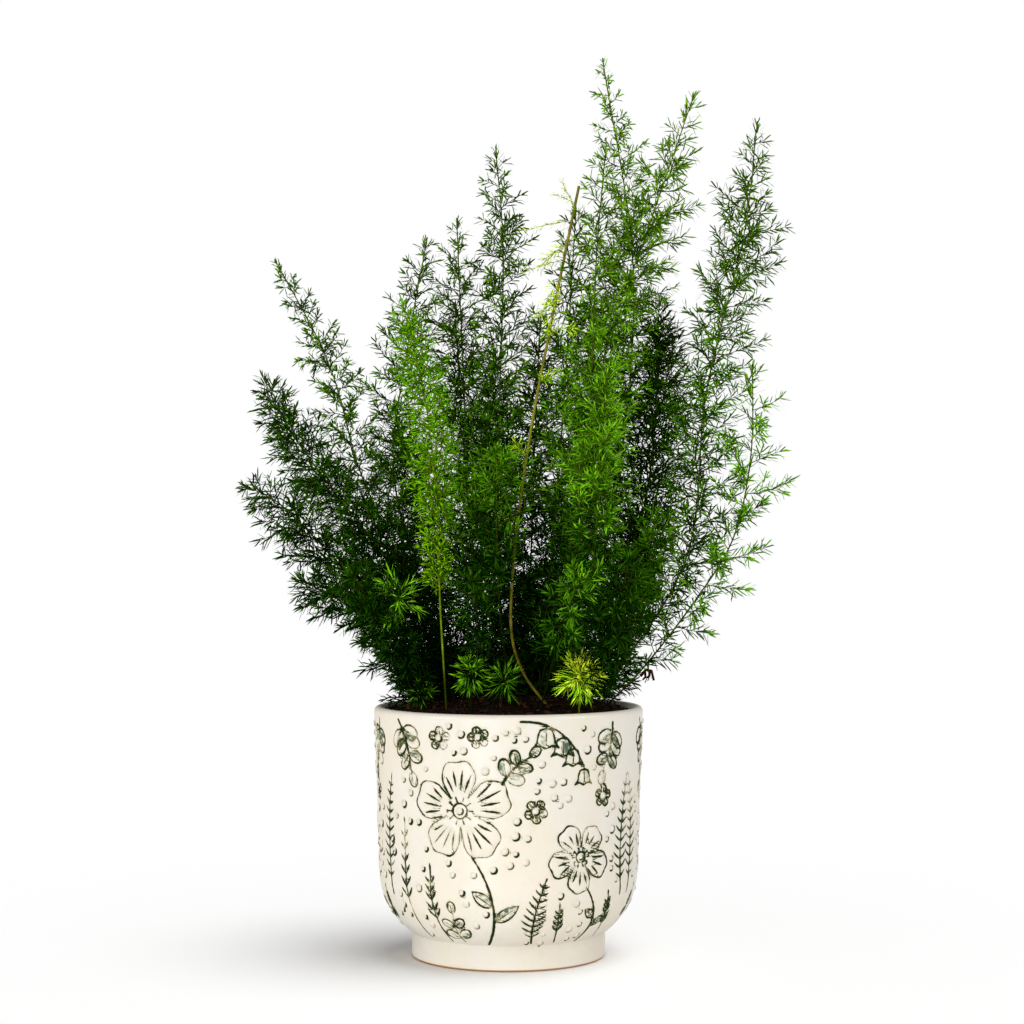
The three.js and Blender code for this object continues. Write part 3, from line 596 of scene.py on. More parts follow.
def anemone(relief, root, heart, radius, turn):
    """A wide open flower on a curved stalk with two notched leaves."""
    relief.dip(0.8)
    lower = polar(heart, -math.pi / 2 + 0.25, radius * 0.90)
    bend = ((root[0] + lower[0]) / 2 + 0.22 * (heart[1] - root[1]) * np.sign(root[0] - heart[0] + 0.1),
            (root[1] + lower[1]) / 2)
    stalk = relief.curve(root, bend, lower, (2.0,) * 5 + (1.7,) * 4 + (1.2,) * 4, steps=12)
    for step, sign, length in ((4, 1, 0.62), (6, -1, 0.52)):
        relief.dip()
        heading = math.pi / 2 - sign * 0.95
        long_leaf(relief, stalk[step], heading, radius * length, radius * 0.16)
    for i in range(PETALS):
        petal(relief, heart, turn + i * 2 * math.pi / PETALS, math.pi / PETALS * 0.98, radius * 0.30,
              radius * relief.random.uniform(0.94, 1.04), 4 if radius > 20 else 3)
    relief.dip(0.6)
    ring = [polar(heart, a, radius * 0.15) for a in np.linspace(0, 2 * math.pi, 17)]
    relief.line(ring, 1.2)
    relief.dot(heart, radius * 0.07)
    for a in np.linspace(0, 2 * math.pi, 11)[:-1]:
        relief.line([polar(heart, a, radius * 0.19), polar(heart, a, radius * 0.265)], (0.6, 1.5))


def long_leaf(relief, root, angle, length, breadth):
    """The outline of a pointed leaf with its rib and slanting veins."""
    tip = polar(root, angle, length)
    widths = OUTLINE * np.array((0.7, 0.9, 1.1, 1.2, 1.1, 1.0, 0.9, 0.8, 0.6))
    for sign in (-1, 1):
        belly = polar(polar(root, angle, length * 0.45), angle + sign * math.pi / 2, breadth * 1.5)
        relief.curve(root, belly, tip, widths, steps=8)
    relief.line([root, polar(root, angle, length * 0.8)], (OUTLINE * 0.9, OUTLINE * 0.4))
    relief.leaf_pad(polar(root, angle, length * 0.5), angle, length, breadth * 1.5)


def round_twig(relief, root, angle, length, pairs, size):
    """A bent twig with nearly round leaves in pairs, and one at its end."""
    relief.dip()
    tip = polar(root, angle, length)
    bend = polar(polar(root, angle, length / 2), angle + math.pi / 2, length * 0.16)
    twig = relief.curve(root, bend, tip, (1.7,) * 3 + (1.3,) * 4 + (0.9,) * 4)
    for i in range(pairs):
        place = twig[2 + round(7.0 * i / pairs)]
        for sign in (-1, 1):
            round_leaf(relief, place, angle + sign * 1.0, size * (1 - 0.28 * i / pairs))
    round_leaf(relief, tip, angle, size * 0.75)


def round_leaf(relief, root, angle, size):
    """A nearly round leaf on a short stalk, with its rib."""
    relief.dip(0.15)
    centre = polar(root, angle, size * 0.72)
    turns = np.linspace(math.pi, 3 * math.pi, 15)
    outline = [polar(polar(centre, angle, 0.62 * size * math.cos(t)), angle + math.pi / 2,
                     0.43 * size * math.sin(t)) for t in turns]
    relief.line([root] + outline, (0.8,) * 3 + (1.1,) * 5 + (1.4,) * 4 + (1.0,) * 4)
    relief.line([polar(root, angle, size * 0.2), polar(root, angle, size * 0.95)], (0.9, 0.4))
    relief.leaf_pad(centre, angle, size * 1.15, size * 0.8)


def ear(relief, root, tip, drops, size):
    """An upright ear: solid drops in pairs along the upper part of a thin stalk."""
    relief.dip(0.5)
    root, tip = np.array(root, dtype=float), np.array(tip, dtype=float)
    angle = math.atan2(tip[1] - root[1], tip[0] - root[0])
    bend = polar((root + tip) / 2, angle + math.pi / 2, 0.07 * np.linalg.norm(tip - root))
    stalk = relief.curve(root, bend, tip, (1.1,) * 21, steps=20)
    drop = (0.5, 1.9, 0.6)
    for i in range(drops):
        place = stalk[round(8 + 11.5 * i / drops)]
        for sign in (-1, 1):
            heading = angle + sign * 0.62
            start = polar(place, heading, size * 0.18)
            reach = size * (1.05 - 0.45 * i / drops)
            middle = polar(start, heading, reach * 0.55)
            relief.line([start, middle, polar(start, heading, reach)], drop)
    relief.line([tip, polar(tip, angle, size * 0.5), polar(tip, angle, size * 0.8)], (0.6, 1.9, 0.6))


def frond(relief, root, bend, tip, leaflets, reach):
    """A fern frond: narrow leaflets on both sides, the longest ones low down."""
    relief.dip(0.7)
    rib = relief.curve(root, bend, tip, (1.6,) * 8 + (1.2,) * 7 + (0.9,) * 6, steps=20)
    for i in range(leaflets):
        part = 3.0 + 16.5 * i / leaflets
        step = int(part)
        place = rib[step] + (rib[step + 1] - rib[step]) * (part - step)
        ahead = rib[step + 1] - rib[step]
        angle = math.atan2(ahead[1], ahead[0])
        length = reach * min(1.0, 0.55 + 2.2 * i / leaflets) * (1.0 - 0.75 * i / leaflets)
        for sign in (-1, 1):
            middle = polar(place, angle + sign * 1.15, length * 0.5)
            end = polar(middle, angle + sign * 0.85, length * 0.55)
            relief.curve(place, middle, end, (0.5, 1.2, 1.5, 1.1, 0.4), steps=4)


def bell_spray(relief, root, bend, tip, bells, size):
    """An arched stalk with a row of small hanging bells."""
    relief.dip(0.3)
    stalk = relief.curve(root, bend, tip, (1.6,) * 6 + (1.2,) * 8 + (0.9,) * 3, steps=16)
    for i in range(bells):
        top = stalk[round(5 + 11 * i / max(bells - 1, 1))] + np.array((0.0, -1.6))
        scale = size * (1.0 - 0.30 * i / bells)
        relief.line([top + np.array((0.0, 1.6)), top], 0.8)
        side = np.array(((0.0, 0.0), (0.30, -0.08), (0.42, -0.38), (0.46, -0.72), (0.66, -0.98)))
        mouth = np.array(((0.66, -0.98), (0.33, -0.86), (0.0, -1.02), (-0.33, -0.86), (-0.66, -0.98)))
        relief.line(top + side * scale, (1.0, 1.3, 1.3, 1.1, 1.2))
        relief.line(top + side * scale * (-1, 1), (1.0, 1.1, 0.9, 0.9, 1.2))
        relief.line(top + mouth * scale, 1.2)
        relief.line([top + np.array((0.0, -0.25)) * scale, top + np.array((0.0, -0.8)) * scale], (0.5, 0.8))
        relief.leaf_pad(top + np.array((0.0, -0.5)) * scale, -math.pi / 2, scale * 1.0, scale * 0.8)


def star_flower(relief, heart, radius, turn):
    """A small flower of five blunt petals round a pearl."""
    relief.dip()
    for i in range(PETALS):
        angle = turn + i * 2 * math.pi / PETALS
        across = np.linspace(-1, 1, 9)
        reach = radius * (0.42 + 0.58 * (1 - np.abs(across) ** 2.4) ** 0.5)
        relief.line([polar(heart, angle + 0.58 * a, r) for a, r in zip(across, reach)], 1.0)
        relief.line([polar(heart, angle, radius * 0.42), polar(heart, angle, radius * 0.78)], (1.0, 0.5))
    relief.dot(heart, radius * 0.26)


def scatter_pearls(relief, centre, spread, count, size):
    """Pearls strewn over an oval patch, none of them touching another motif's line."""
    strokes = np.vstack([points for points, _, _ in relief.strokes])
    placed = 0
    for _ in range(count * 14):
        if placed == count:
            return
        place = np.array((centre[0] + relief.random.uniform(-1, 1) * spread[0],
                          centre[1] + relief.random.uniform(-1, 1) * spread[1]))
        radius = size * relief.random.uniform(0.6, 1.15)
        clear = all(math.hypot(place[0] - x, place[1] - y) > radius + r + 1.9 for x, y, r, _ in relief.dots)
        if clear and np.hypot(*(strokes - place).T).min() > radius + 1.7:
            relief.dot(place, radius)
            placed += 1


def draw_relief(girth, random):
    """The flower meadow: the same plants three times round, each time a little different."""
    relief = Relief(random)
    module = girth / REPEATS
    patches = []
    for turn in range(REPEATS):
        centre = turn * module + PATTERN_START
        flip = -1 if turn == 1 else 1

        def at(x, y):
            """A place in this part of the meadow, which is mirrored in the middle one."""
            return (centre + flip * x, y)

        anemone(relief, at(-15, 2), at(-27, 76), 26.0 - turn, 0.35 + 0.5 * turn)
        anemone(relief, at(47, 2), at(37, 52), 18.0, 0.9 - 0.3 * turn)
        frond(relief, at(13, 3), at(9, 22), at(18, 42 - 3 * turn), 9, 9.5)
        frond(relief, at(69, 30), at(64, 60), at(72, 92), 11, 9.0)
        ear(relief, at(-41, 3), at(-45, 44), 5, 5.6)
        ear(relief, at(-58, 4), at(-63, 66), 6, 5.8)
        ear(relief, at(64, 3), at(58, 30), 5, 4.6)
        ear(relief, at(29, 3), at(26, 26), 4, 4.4)
        bell_spray(relief, at(4, 121), at(26, 122), at(38, 98), 4, 10.0)
        round_twig(relief, at(-66, 120), -math.pi / 2 + 0.35 * flip, 27, 3, 8.5)
        round_twig(relief, at(57, 119), -math.pi / 2 - 0.25 * flip, 24, 3, 8.0)
        round_twig(relief, at(-31, 3), math.pi / 2 + 0.10 * flip, 20, 2, 7.0)
        round_twig(relief, at(-5, 90), math.pi / 2 - 0.8 * flip, 19, 2, 7.0)
        star_flower(relief, at(-38, 112), 6.0, 0.3)
        star_flower(relief, at(12, 76), 6.0, 1.0)
        star_flower(relief, at(-17, 113), 5.5, 0.6)
        star_flower(relief, at(51, 82), 5.5, 0.2)
        patches += [(at(-31, 112), (10, 7), 5), (at(-2, 106), (12, 12), 7), (at(22, 88), (12, 12), 8),
                    (at(44, 104), (9, 14), 6), (at(-54, 84), (9, 16), 8), (at(2, 62), (9, 14), 7),
                    (at(18, 20), (9, 18), 6), (at(-22, 30), (14, 22), 8), (at(-68, 44), (7, 30), 8),
                    (at(38, 18), (9, 16), 6), (at(58, 58), (8, 20), 7), (at(-50, 30), (6, 26), 6)]
    for centre, spread, count in patches:
        scatter_pearls(relief, centre, spread, count, 1.85)
    return relief


def way_to_stroke(places, points, half_widths):
    """The way from the middle of a line to each place, and half the line's width where it is nearest."""
    nearest = np.full(len(places), 1e3)
    way = np.zeros((len(places), 2))
    half = np.zeros(len(places))
    for start, end, w0, w1 in zip(points, points[1:], half_widths, half_widths[1:]):
        along = end - start
        part = np.clip((places - start) @ along / max(along @ along, 1e-9), 0.0, 1.0)
        offset = places - (start + part[:, None] * along)
        width = w0 + (w1 - w0) * part
        gap = np.linalg.norm(offset, axis=1) - width
        closer = gap < nearest
        nearest[closer], way[closer], half[closer] = gap[closer], offset[closer], width[closer]
    return way, half


class NearestMark:
    """For each vertex the nearest mark of one kind: the way to it, its half width and its ink."""

    def __init__(self, count):
        self.gap = np.full(count, FAR)
        self.way = np.full((count, 2), FAR)
        self.half = np.zeros(count)
        self.ink = np.full(count, 0.5)

    def add(self, near, way, half, ink):
        """Takes a mark in where it is nearer than those before it."""
        gap = np.linalg.norm(way, axis=1) - half
        closer = gap < self.gap[near]
        chosen = np.flatnonzero(near)[closer]
        self.gap[chosen] = gap[closer]
        self.way[chosen] = way[closer]
        self.half[chosen] = np.broadcast_to(half, gap.shape)[closer]
        self.ink[chosen] = ink


def press_relief(mesh, settings, random):
    """Presses the pattern into the wall, and stores how far each vertex is from its lines and dots."""
    profile = np.array(outer_profile(settings.row_height / MM))
    climb = travelled(profile)
    places = coordinates(mesh) / MM
    radius = np.hypot(places[:, 0], places[:, 1])
    outside = radius > np.interp(places[:, 2], profile[:, 1], profile[:, 0]) - SKIN
    outside &= (places[:, 2] > FOOT_HEIGHT - FOOT_SKIN) & (places[:, 2] < profile[-1, 1])
    index = np.flatnonzero(outside)
    girth_radius = wall_radius(GIRTH_HEIGHT)
    girth = 2 * math.pi * girth_radius
    angle = np.arctan2(places[index, 0], -places[index, 1])
    flat = np.column_stack((angle * girth_radius, np.interp(places[index, 2], profile[:, 1], climb)))

    def nearby(centre, reach):
        """Which vertices are round a place on the wall, and where they are from it."""
        around = (flat[:, 0] - centre[0] + girth / 2) % girth - girth / 2
        near = (np.abs(around) < reach[0]) & (np.abs(flat[:, 1] - centre[1]) < reach[1])
        return near, np.column_stack((around[near], flat[near, 1] - centre[1]))

    lines, dots = NearestMark(len(index)), NearestMark(len(index))
    pillow = np.zeros(len(index))
    wash = np.zeros(len(index))
    relief = draw_relief(girth, random)
    for points, half_widths, ink in relief.strokes:
        middle = points.mean(axis=0)
        near, local = nearby(middle, np.abs(points - middle).max(axis=0) + 4.0)
        lines.add(near, *way_to_stroke(local, points - middle, half_widths), ink)
    for x, y, dot_radius, ink in relief.dots:
        near, local = nearby((x, y), (dot_radius + 3, dot_radius + 3))
        dots.add(near, local, dot_radius, ink)
    for x, y, heading, half_length, half_breadth, strength, along, across in relief.pads:
        near, local = nearby((x, y), (half_length + 1, half_length + 1))
        ahead = local @ (math.cos(heading), math.sin(heading)) / half_length
        aside = local @ (-math.sin(heading), math.cos(heading)) / half_breadth
        inside = np.clip(1 - ahead ** 2 - aside ** 2, 0, 1)
        pillow[near] = np.maximum(pillow[near], inside ** 0.5)
        shade = np.clip(0.4 + along * ahead + across * aside, 0, 1)
        wash[near] = np.maximum(wash[near], strength * inside ** 0.35 * shade)
    dome = np.clip(-dots.gap / np.maximum(dots.half, 0.1), 0, 1) ** 0.5
    groove = 1 - smooth_step(*GROOVE_EDGES, lines.gap)
    moat = MOAT_DEPTH * np.exp(-(dots.gap / MOAT_WIDTH) ** 2)
    lift = settings.bump_height / MM * np.maximum(dome, PAD_HEIGHT * pillow)
    lift = lift - settings.groove_depth / MM * np.maximum(groove, moat)
    outward = np.column_stack((np.sin(angle), -np.cos(angle)))
    places[index, :2] += outward * lift[:, None]
    set_coordinates(mesh, places * MM)

    def whole(values, plain):
        """Values for all the vertices, plain where the wall has no pattern."""
        every = np.full((len(places), *values.shape[1:]), plain)
        every[index] = values
        return every

    for name, marks in (("line", lines), ("dot", dots)):
        set_attribute(mesh, name + "_gap", whole(marks.gap, FAR))
        set_attribute(mesh, name + "_half", whole(marks.half, 0.0))
        set_attribute(mesh, name + "_ink", whole(marks.ink, 0.5))
        set_vectors(mesh, name + "_way", whole(marks.way, FAR))
    set_attribute(mesh, "wash", whole(wash, 0.0))


class FERN_OT_pot(bpy.types.Operator):
    """Model the glazed pot with its pressed plants"""
    bl_idname = "fern.pot"
    bl_label = "Pot"

    def execute(self, context):
        settings = context.scene.fern_pot
        profile = [(r * MM, z * MM) for r, z in pot_profile(settings.row_height / MM)]
        pot = spun_profile(profile, settings.columns)
        press_relief(pot.data, settings, np.random.default_rng(RELIEF_SEED))
        settle(pot, "ceramic_pot", ["pot"], glaze_material(settings))
        return {"FINISHED"}


# ---------------------------------------------------------------- soil

def soil_height(radius):
    """Height of the mound at a distance from the pot's axis, both in millimetres."""
    return SOIL_CROWN_HEIGHT - (SOIL_CROWN_HEIGHT - SOIL_EDGE_HEIGHT) * (radius / INNER_RADIUS) ** 2


def soil_profile():
    """Half the section of the mound, from the middle of its underside to the middle of its top."""
    edge = wall_radius(SOIL_EDGE_HEIGHT) - WALL - SOIL_GAP
    radii = [edge * (1 - i / SOIL_RINGS) for i in range(SOIL_RINGS + 1)]
    underside = SOIL_EDGE_HEIGHT - SOIL_DEPTH
    mound = [(radius, soil_height(radius)) for radius in radii]
    return [(0.0, underside), (edge - SOIL_TAPER, underside)] + mound


def roughen_soil(mesh):
    """Lifts and lowers the top of the mound into clods, less towards the pot's wall."""
    places = coordinates(mesh) / MM
    top = places[:, 2] > SOIL_EDGE_HEIGHT - SOIL_TOP_DEPTH
    for i in np.flatnonzero(top):
        x, y, z = places[i]
        fade = min(1.0, max(0.0, (INNER_RADIUS - math.hypot(x, y)) / CALM_EDGE))
        clod = noise.fractal(Vector((x, y, 3.0)) * CLOD_FINENESS, 0.8, 2.1, 4)
        grit = noise.noise(Vector((x, y, 8.0)) * GRIT_FINENESS)
        places[i, 2] = z + fade * (CLOD_HEIGHT * clod + GRIT_HEIGHT * grit)
    set_coordinates(mesh, places * MM)


def crumb_template():
    """One crumb of compost with twenty faces."""
    deselect_all()
    bpy.ops.mesh.primitive_ico_sphere_add(subdivisions=1, radius=0.5)
    return take_template()


def take_template():
    """Reads the triangles of the active object and removes it."""
    piece = bpy.context.object
    piece.data.calc_loop_triangles()
    places = coordinates(piece.data)
    triangles = np.array([tuple(t.vertices) for t in piece.data.loop_triangles])
    bpy.data.objects.remove(piece, do_unlink=True)
    return places, triangles


def scattered_crumbs(settings, random):
    """Crumbs, bark chips and fibres that lie on the mound."""
    places, triangles = crumb_template()
    count = settings.crumbs
    angle = random.uniform(0, 2 * math.pi, count)
    radius = np.sqrt(random.uniform(0, 1, count)) * (INNER_RADIUS - CRUMB_MARGIN)
    size = settings.crumb_size / MM * random.uniform(0.25, 1.0, count) ** 1.6
    shape = np.column_stack((random.uniform(0.7, 1.5, count), random.uniform(0.6, 1.1, count),
                             random.uniform(0.4, 0.8, count))) * size[:, None]
    fibre = random.uniform(0, 1, count) < FIBRE_SHARE
    shape[fibre] = np.column_stack((random.uniform(3, 8, fibre.sum()), np.full(fibre.sum(), 0.5),
                                    np.full(fibre.sum(), 0.4)))
    radius = np.where(fibre, np.minimum(radius, FIBRE_LIMIT), radius)
    turn = random.uniform(0, 2 * math.pi, count)
    tilt = random.uniform(-0.35, 0.35, count)
    knobbly = places[None] * (1 + random.uniform(-0.22, 0.22, (count, len(places), 1)))
    local = knobbly * shape[:, None, :]
    x, y, z = local[..., 0], local[..., 1], local[..., 2]
    cos, sin = np.cos(tilt)[:, None], np.sin(tilt)[:, None]
    x, z = x * cos - z * sin, x * sin + z * cos
    cos, sin = np.cos(turn)[:, None], np.sin(turn)[:, None]
    middle_x, middle_y = radius * np.cos(angle), radius * np.sin(angle)
    height = soil_height(radius) + 0.5 + 0.12 * size
    world = np.stack((x * cos - y * sin + middle_x[:, None], x * sin + y * cos + middle_y[:, None],
                      z + height[:, None]), axis=-1)
    mesh = copies_mesh("crumbs", world, triangles)
    set_attribute(mesh, "tint", np.repeat(random.uniform(0, 1, count), len(places)))
    return mesh


class FERN_OT_soil(bpy.types.Operator):
    """Model the mound of compost with its crumbs"""
    bl_idname = "fern.soil"
    bl_label = "Soil"

    def execute(self, context):
        settings = context.scene.fern_soil
        soil = spun_profile([(r * MM, z * MM) for r, z in soil_profile()], SOIL_COLUMNS)
        roughen_soil(soil.data)
        set_attribute(soil.data, "tint", np.full(len(soil.data.vertices), 0.3))
        random = np.random.default_rng(CRUMB_SEED)
        crumbs = bpy.data.objects.new("crumbs", scattered_crumbs(settings, random))
        context.collection.objects.link(crumbs)
        make_active(soil)
        crumbs.select_set(True)
        bpy.ops.object.join()
        settle(soil, "potting_soil_mound", ["soil"], soil_material(settings))
        return {"FINISHED"}


# ---------------------------------------------------------------- stems and branches

def rooted(root):
    """The point on the soil that a stem grows from, in millimetres."""
    return (root[0], root[1], soil_height(math.hypot(*root)))


def stem_line(points, count):
    """Evenly spaced places and directions along a smooth curve through points, and its length."""
    points = np.array(points, dtype=float)
    points = np.vstack((2 * points[0] - points[1], points, 2 * points[-1] - points[-2]))
    samples = []
    for p0, p1, p2, p3 in zip(points, points[1:], points[2:], points[3:]):
        d0, d1, d2 = (math.sqrt(np.linalg.norm(b - a)) for a, b in ((p0, p1), (p1, p2), (p2, p3)))
        t1 = ((p1 - p0) / d0 - (p2 - p0) / (d0 + d1) + (p2 - p1) / d1) * d1
        t2 = ((p2 - p1) / d1 - (p3 - p1) / (d1 + d2) + (p3 - p2) / d2) * d1
        t = np.linspace(0, 1, 60, endpoint=False)[:, None]
        curve = p1 + t1 * t + (3 * (p2 - p1) - 2 * t1 - t2) * t ** 2 + (2 * (p1 - p2) + t1 + t2) * t ** 3
        samples.append(curve)
    samples = np.vstack(samples + [points[-2:-1]])
    travel = travelled(samples)
    line = at_stations(np.linspace(0, travel[-1], count), travel, samples)
    return line, unit(np.gradient(line, axis=0)), travel[-1]


def unit(vectors):
    """The same directions, each of length one."""
    return vectors / np.maximum(np.linalg.norm(vectors, axis=-1, keepdims=True), 1e-9)


def beside(directions):
    """Two unit vectors square to each direction and to each other."""
    reference = np.where(np.abs(directions[..., 2:3]) < 0.9, (0.0, 0.0, 1.0), (1.0, 0.0, 0.0))
    first = unit(np.cross(directions, reference))
    return first, np.cross(directions, first)


def leaning(directions, lean, turn):
    """Directions that leave the given ones at an angle of lean, turned about them by turn."""
    first, second = beside(directions)
    lean, turn = np.asarray(lean)[..., None], np.asarray(turn)[..., None]
    outward = np.cos(turn) * first + np.sin(turn) * second
    return np.cos(lean) * directions + np.sin(lean) * outward


class Spray:
    """The lines and needles of one leafy stem, in millimetres, while it is put together."""

    def __init__(self, random, in_the_open=False):
        self.random = random
        self.in_the_open = in_the_open
        self.stems = []
        self.branches = []
        self.needles = []

    def tufts(self, places, directions, count, length, width, lean, age, spread=0.26, droop=0.08, crest=0.0):
        """Adds a tuft of needles at each place; each tuft is turned on from the one before."""
        amount = len(places)
        start = self.random.uniform(0, 2 * math.pi)
        turn = start + np.arange(amount)[:, None] * GOLDEN_ANGLE + np.arange(count) * 2 * math.pi / count
        turn = turn + self.random.normal(0, 0.35, (amount, count))
        angle = lean + self.random.normal(0, spread, (amount, count))
        ahead = np.repeat(directions[:, None], count, axis=1)
        heading = leaning(ahead, angle, turn)
        length = np.broadcast_to(np.asarray(length, dtype=float).reshape(-1, 1), (amount, count))
        length = length * self.random.uniform(0.72, 1.14, (amount, count))
        self.needles.append((
            np.repeat(places[:, None], count, axis=1).reshape(-1, 3), heading.reshape(-1, 3),
            ahead.reshape(-1, 3), length.ravel(), np.full(amount * count, width),
            np.broadcast_to(np.asarray(age, dtype=float).reshape(-1, 1), (amount, count)).ravel(),
            np.broadcast_to(np.asarray(crest, dtype=float).reshape(-1, 1), (amount, count)).ravel(),
            self.random.uniform(0.2, 1.8, amount * count) * droop))


def clears_pot(points):
    """False where a point is in the soil or in the pot's wall."""
    radius = np.hypot(points[:, 0], points[:, 1])
    ground = np.where(radius > INNER_RADIUS - WALL_CLEARANCE, POT_HEIGHT + RIM_CLEARANCE,
                      soil_height(radius) + SOIL_CLEARANCE)
    return points[:, 2] > ground


def plume_outline(part):
    """How far side branches reach along the leafy length: full above the base, short at the tip."""
    return np.minimum(1, 0.5 + 1.8 * part) * np.minimum(1, 3.6 * (1 - part)) ** 0.85


def aged_with_painted_shade(places, ages):
    """Needles near the soil are older and in painted shade, and those deep in the heart of the plant carry
    painted shade that is darker than their oldest colour.

    On the open right-hand side, where more light falls, they stay young lower down.
    """
    x, y, z = places.T
    light = np.maximum(smooth_step(*YOUNG_AND_LIT_HEIGHTS, z), 0.8 * smooth_step(*OPEN_SIDE, x))
    heart = (1 - smooth_step(*SHADED_HEART_HEIGHTS, z)) * (1 - smooth_step(*SHADED_HEART_RADII, np.hypot(x, y)))
    return ages * (0.3 + 0.7 * light) - 0.8 * heart


def crest_at(part, height):
    """How far a place counts as the olive top of a tall plume, which also takes on painted shade."""
    return smooth_step(0.35, 0.8, part) * smooth_step(*CREST_HEIGHTS, height)


def grow_branch(spray, root, ahead, turn, reach, age, crest, needle, settings, twigs=True, lean=1.15,
                settled=0.95, spread=0.95, width=None):
    """One side branch with its tufts of needles and, on a long one, a few twigs."""
    random = spray.random
    leave = leaning(ahead, lean + random.normal(0, 0.14), turn)
    settle_down = leaning(ahead, settled + random.normal(0, 0.20), turn + random.normal(0, 0.3))
    steps = 3 if reach > 10 else 2
    t = np.linspace(0, 1, steps + 1)[:, None]
    bend = root + leave * reach / 2
    end = bend + settle_down * reach / 2
    points = (1 - t) ** 2 * root + 2 * t * (1 - t) * bend + t ** 2 * end
    clear = clears_pot(points[1:])
    if not clear.all():
        points = points[:1 + int(np.argmin(clear))]
        if len(points) < 2:
            return
    thickness = settings.branch_radius / MM * (1.0 if twigs else 0.7)
    spray.branches.append((points, np.linspace(thickness, 0.5 * thickness, len(points))))
    travel = travelled(points)
    spacing = settings.node_spacing / MM
    stations = np.arange(travel[-1], 0.5 if spray.in_the_open else min(2.2, travel[-1] / 2), -spacing)
    stations = stations + random.uniform(-0.25, 0.0, len(stations)) * spacing
    places = at_stations(stations, travel, points)
    directions = unit(at_stations(stations, travel, unit(np.gradient(points, axis=0))))
    length = needle * (0.8 + 0.2 * np.minimum(1.0, (travel[-1] - stations) / 8.0))
    outward = (stations / max(travel[-1], 1e-6)) ** 2
    if spray.in_the_open:
        ages = age + 0.25 * outward
    else:
        # Needles of plumes get painted shade near the soil and in the heart of the plant
        ages = aged_with_painted_shade(places, age + (0.25 + 0.45 * outward) * (1 - age))
    width = width or settings.needle_width / MM
    spray.tufts(places, directions, settings.needles_per_node, length, width, spread, ages, crest=crest)
    spray.tufts(places[:1], directions[:1], 2, length[:1], width, 0.38, ages[:1], spread=0.22, crest=crest)
    if twigs and travel[-1] > TWIGGED_LENGTH:
        for part in np.arange(0.32, 0.72, TWIG_SPACING / travel[-1]):
            place = at_stations([part * travel[-1]], travel, points)[0]
            heading = unit(points[-1] - points[0])
            side = random.uniform(0, 2 * math.pi)
            grow_branch(spray, place, heading, side, travel[-1] * random.uniform(0.30, 0.48) * (1.1 - part),
                        age, crest, needle, settings, twigs=False)


def branch_stations(first, last, spacing, random):
    """Places of side branches along a stem, a little closer together near its foot and its tip."""
    stations = []
    place = first
    while place < last:
        stations.append(place)
        part = (place - first) / (last - first)
        gap = 0.62 + 0.40 * min(1.0, 3.5 * part) - 0.28 * max(0.0, part - 0.2)
        place += spacing * gap * random.uniform(0.75, 1.25)
    return np.array(stations)


def grow_plume(spray, root, route, reach, bare, fullness, needle_scale, settings):
    """A stem with branches all round it, each a golden angle on from the last."""
    random = spray.random
    foot = np.array(rooted(root))
    line, direction, length = stem_line([foot, *route], STEM_POINTS)
    buried = foot - direction[0] * BURIED
    radii = np.linspace(settings.stem_radius / MM, TIP_RADIUS, STEM_POINTS)
    spray.stems.append((np.vstack((buried, line[::3], line[-1:])),
                        np.concatenate((radii[:1], radii[::3], radii[-1:]))))
    scale = np.linspace(0, length, STEM_POINTS)
    first = bare * length
    needle = settings.needle_length / MM * needle_scale
    last = length - TIP_LENGTH
    stations = branch_stations(first, last, settings.branch_spacing / MM / fullness, random)
    part = (stations - first) / (length - first)
    places = at_stations(stations, scale, line)
    headings = unit(at_stations(stations, scale, direction))
    reaches = reach * plume_outline(part) * random.uniform(0.6, 1.1, len(stations))
    crest = crest_at(part, places[:, 2])
    for i, place in enumerate(places):
        if reaches[i] > LEAST_REACH:
            grow_branch(spray, place, headings[i], i * GOLDEN_ANGLE, reaches[i], 0.4 * part[i], crest[i],
                        needle, settings)
    width = settings.needle_width / MM
    along = np.arange(first, last, STEM_TUFT_SPACING)
    part = (along - first) / (length - first)
    places = at_stations(along, scale, line)
    # The needles on the stem itself get the same painted shade
    ages = aged_with_painted_shade(places, 0.6 * part)
    spray.tufts(places, unit(at_stations(along, scale, direction)), 3, 0.9 * needle, width, 0.95, ages,
                crest=crest_at(part, places[:, 2]))
    spire = np.arange(length - 3.0, length - 8.0, -2.0)
    spray.tufts(at_stations(spire, scale, line), unit(at_stations(spire, scale, direction)), 3,
                needle * np.linspace(0.75, 1.0, len(spire)), width, 0.6, np.full(len(spire), 0.8), spread=0.2,
                crest=crest_at(1.0, line[-1:, 2]))
    at_the_back = root[1] > 0 and root[0] < 45
    if bare < 0.2 and at_the_back:
        grow_skirt(spray, line, direction, scale, first, needle, settings)


def grow_skirt(spray, line, direction, scale, top, needle, settings):
    """Short branches low on a stem, over the soil, dark with old growth and with painted shade."""
    random = spray.random
    stations = np.concatenate((np.arange(0.5, 4.0, 0.35), np.arange(4.0, max(top, 20.0), 1.15)))
    places = at_stations(stations, scale, line)
    headings = unit(at_stations(stations, scale, direction))
    turns = random.uniform(0, 2 * math.pi, len(stations))
    for place, heading, turn in zip(places, headings, turns):
        grow_branch(spray, place, heading, turn, random.uniform(10, 24), 0.0, 0.0, needle, settings,
                    twigs=False, lean=1.45, settled=1.25)


# ---------------------------------------------------------------- from lines and needles to meshes

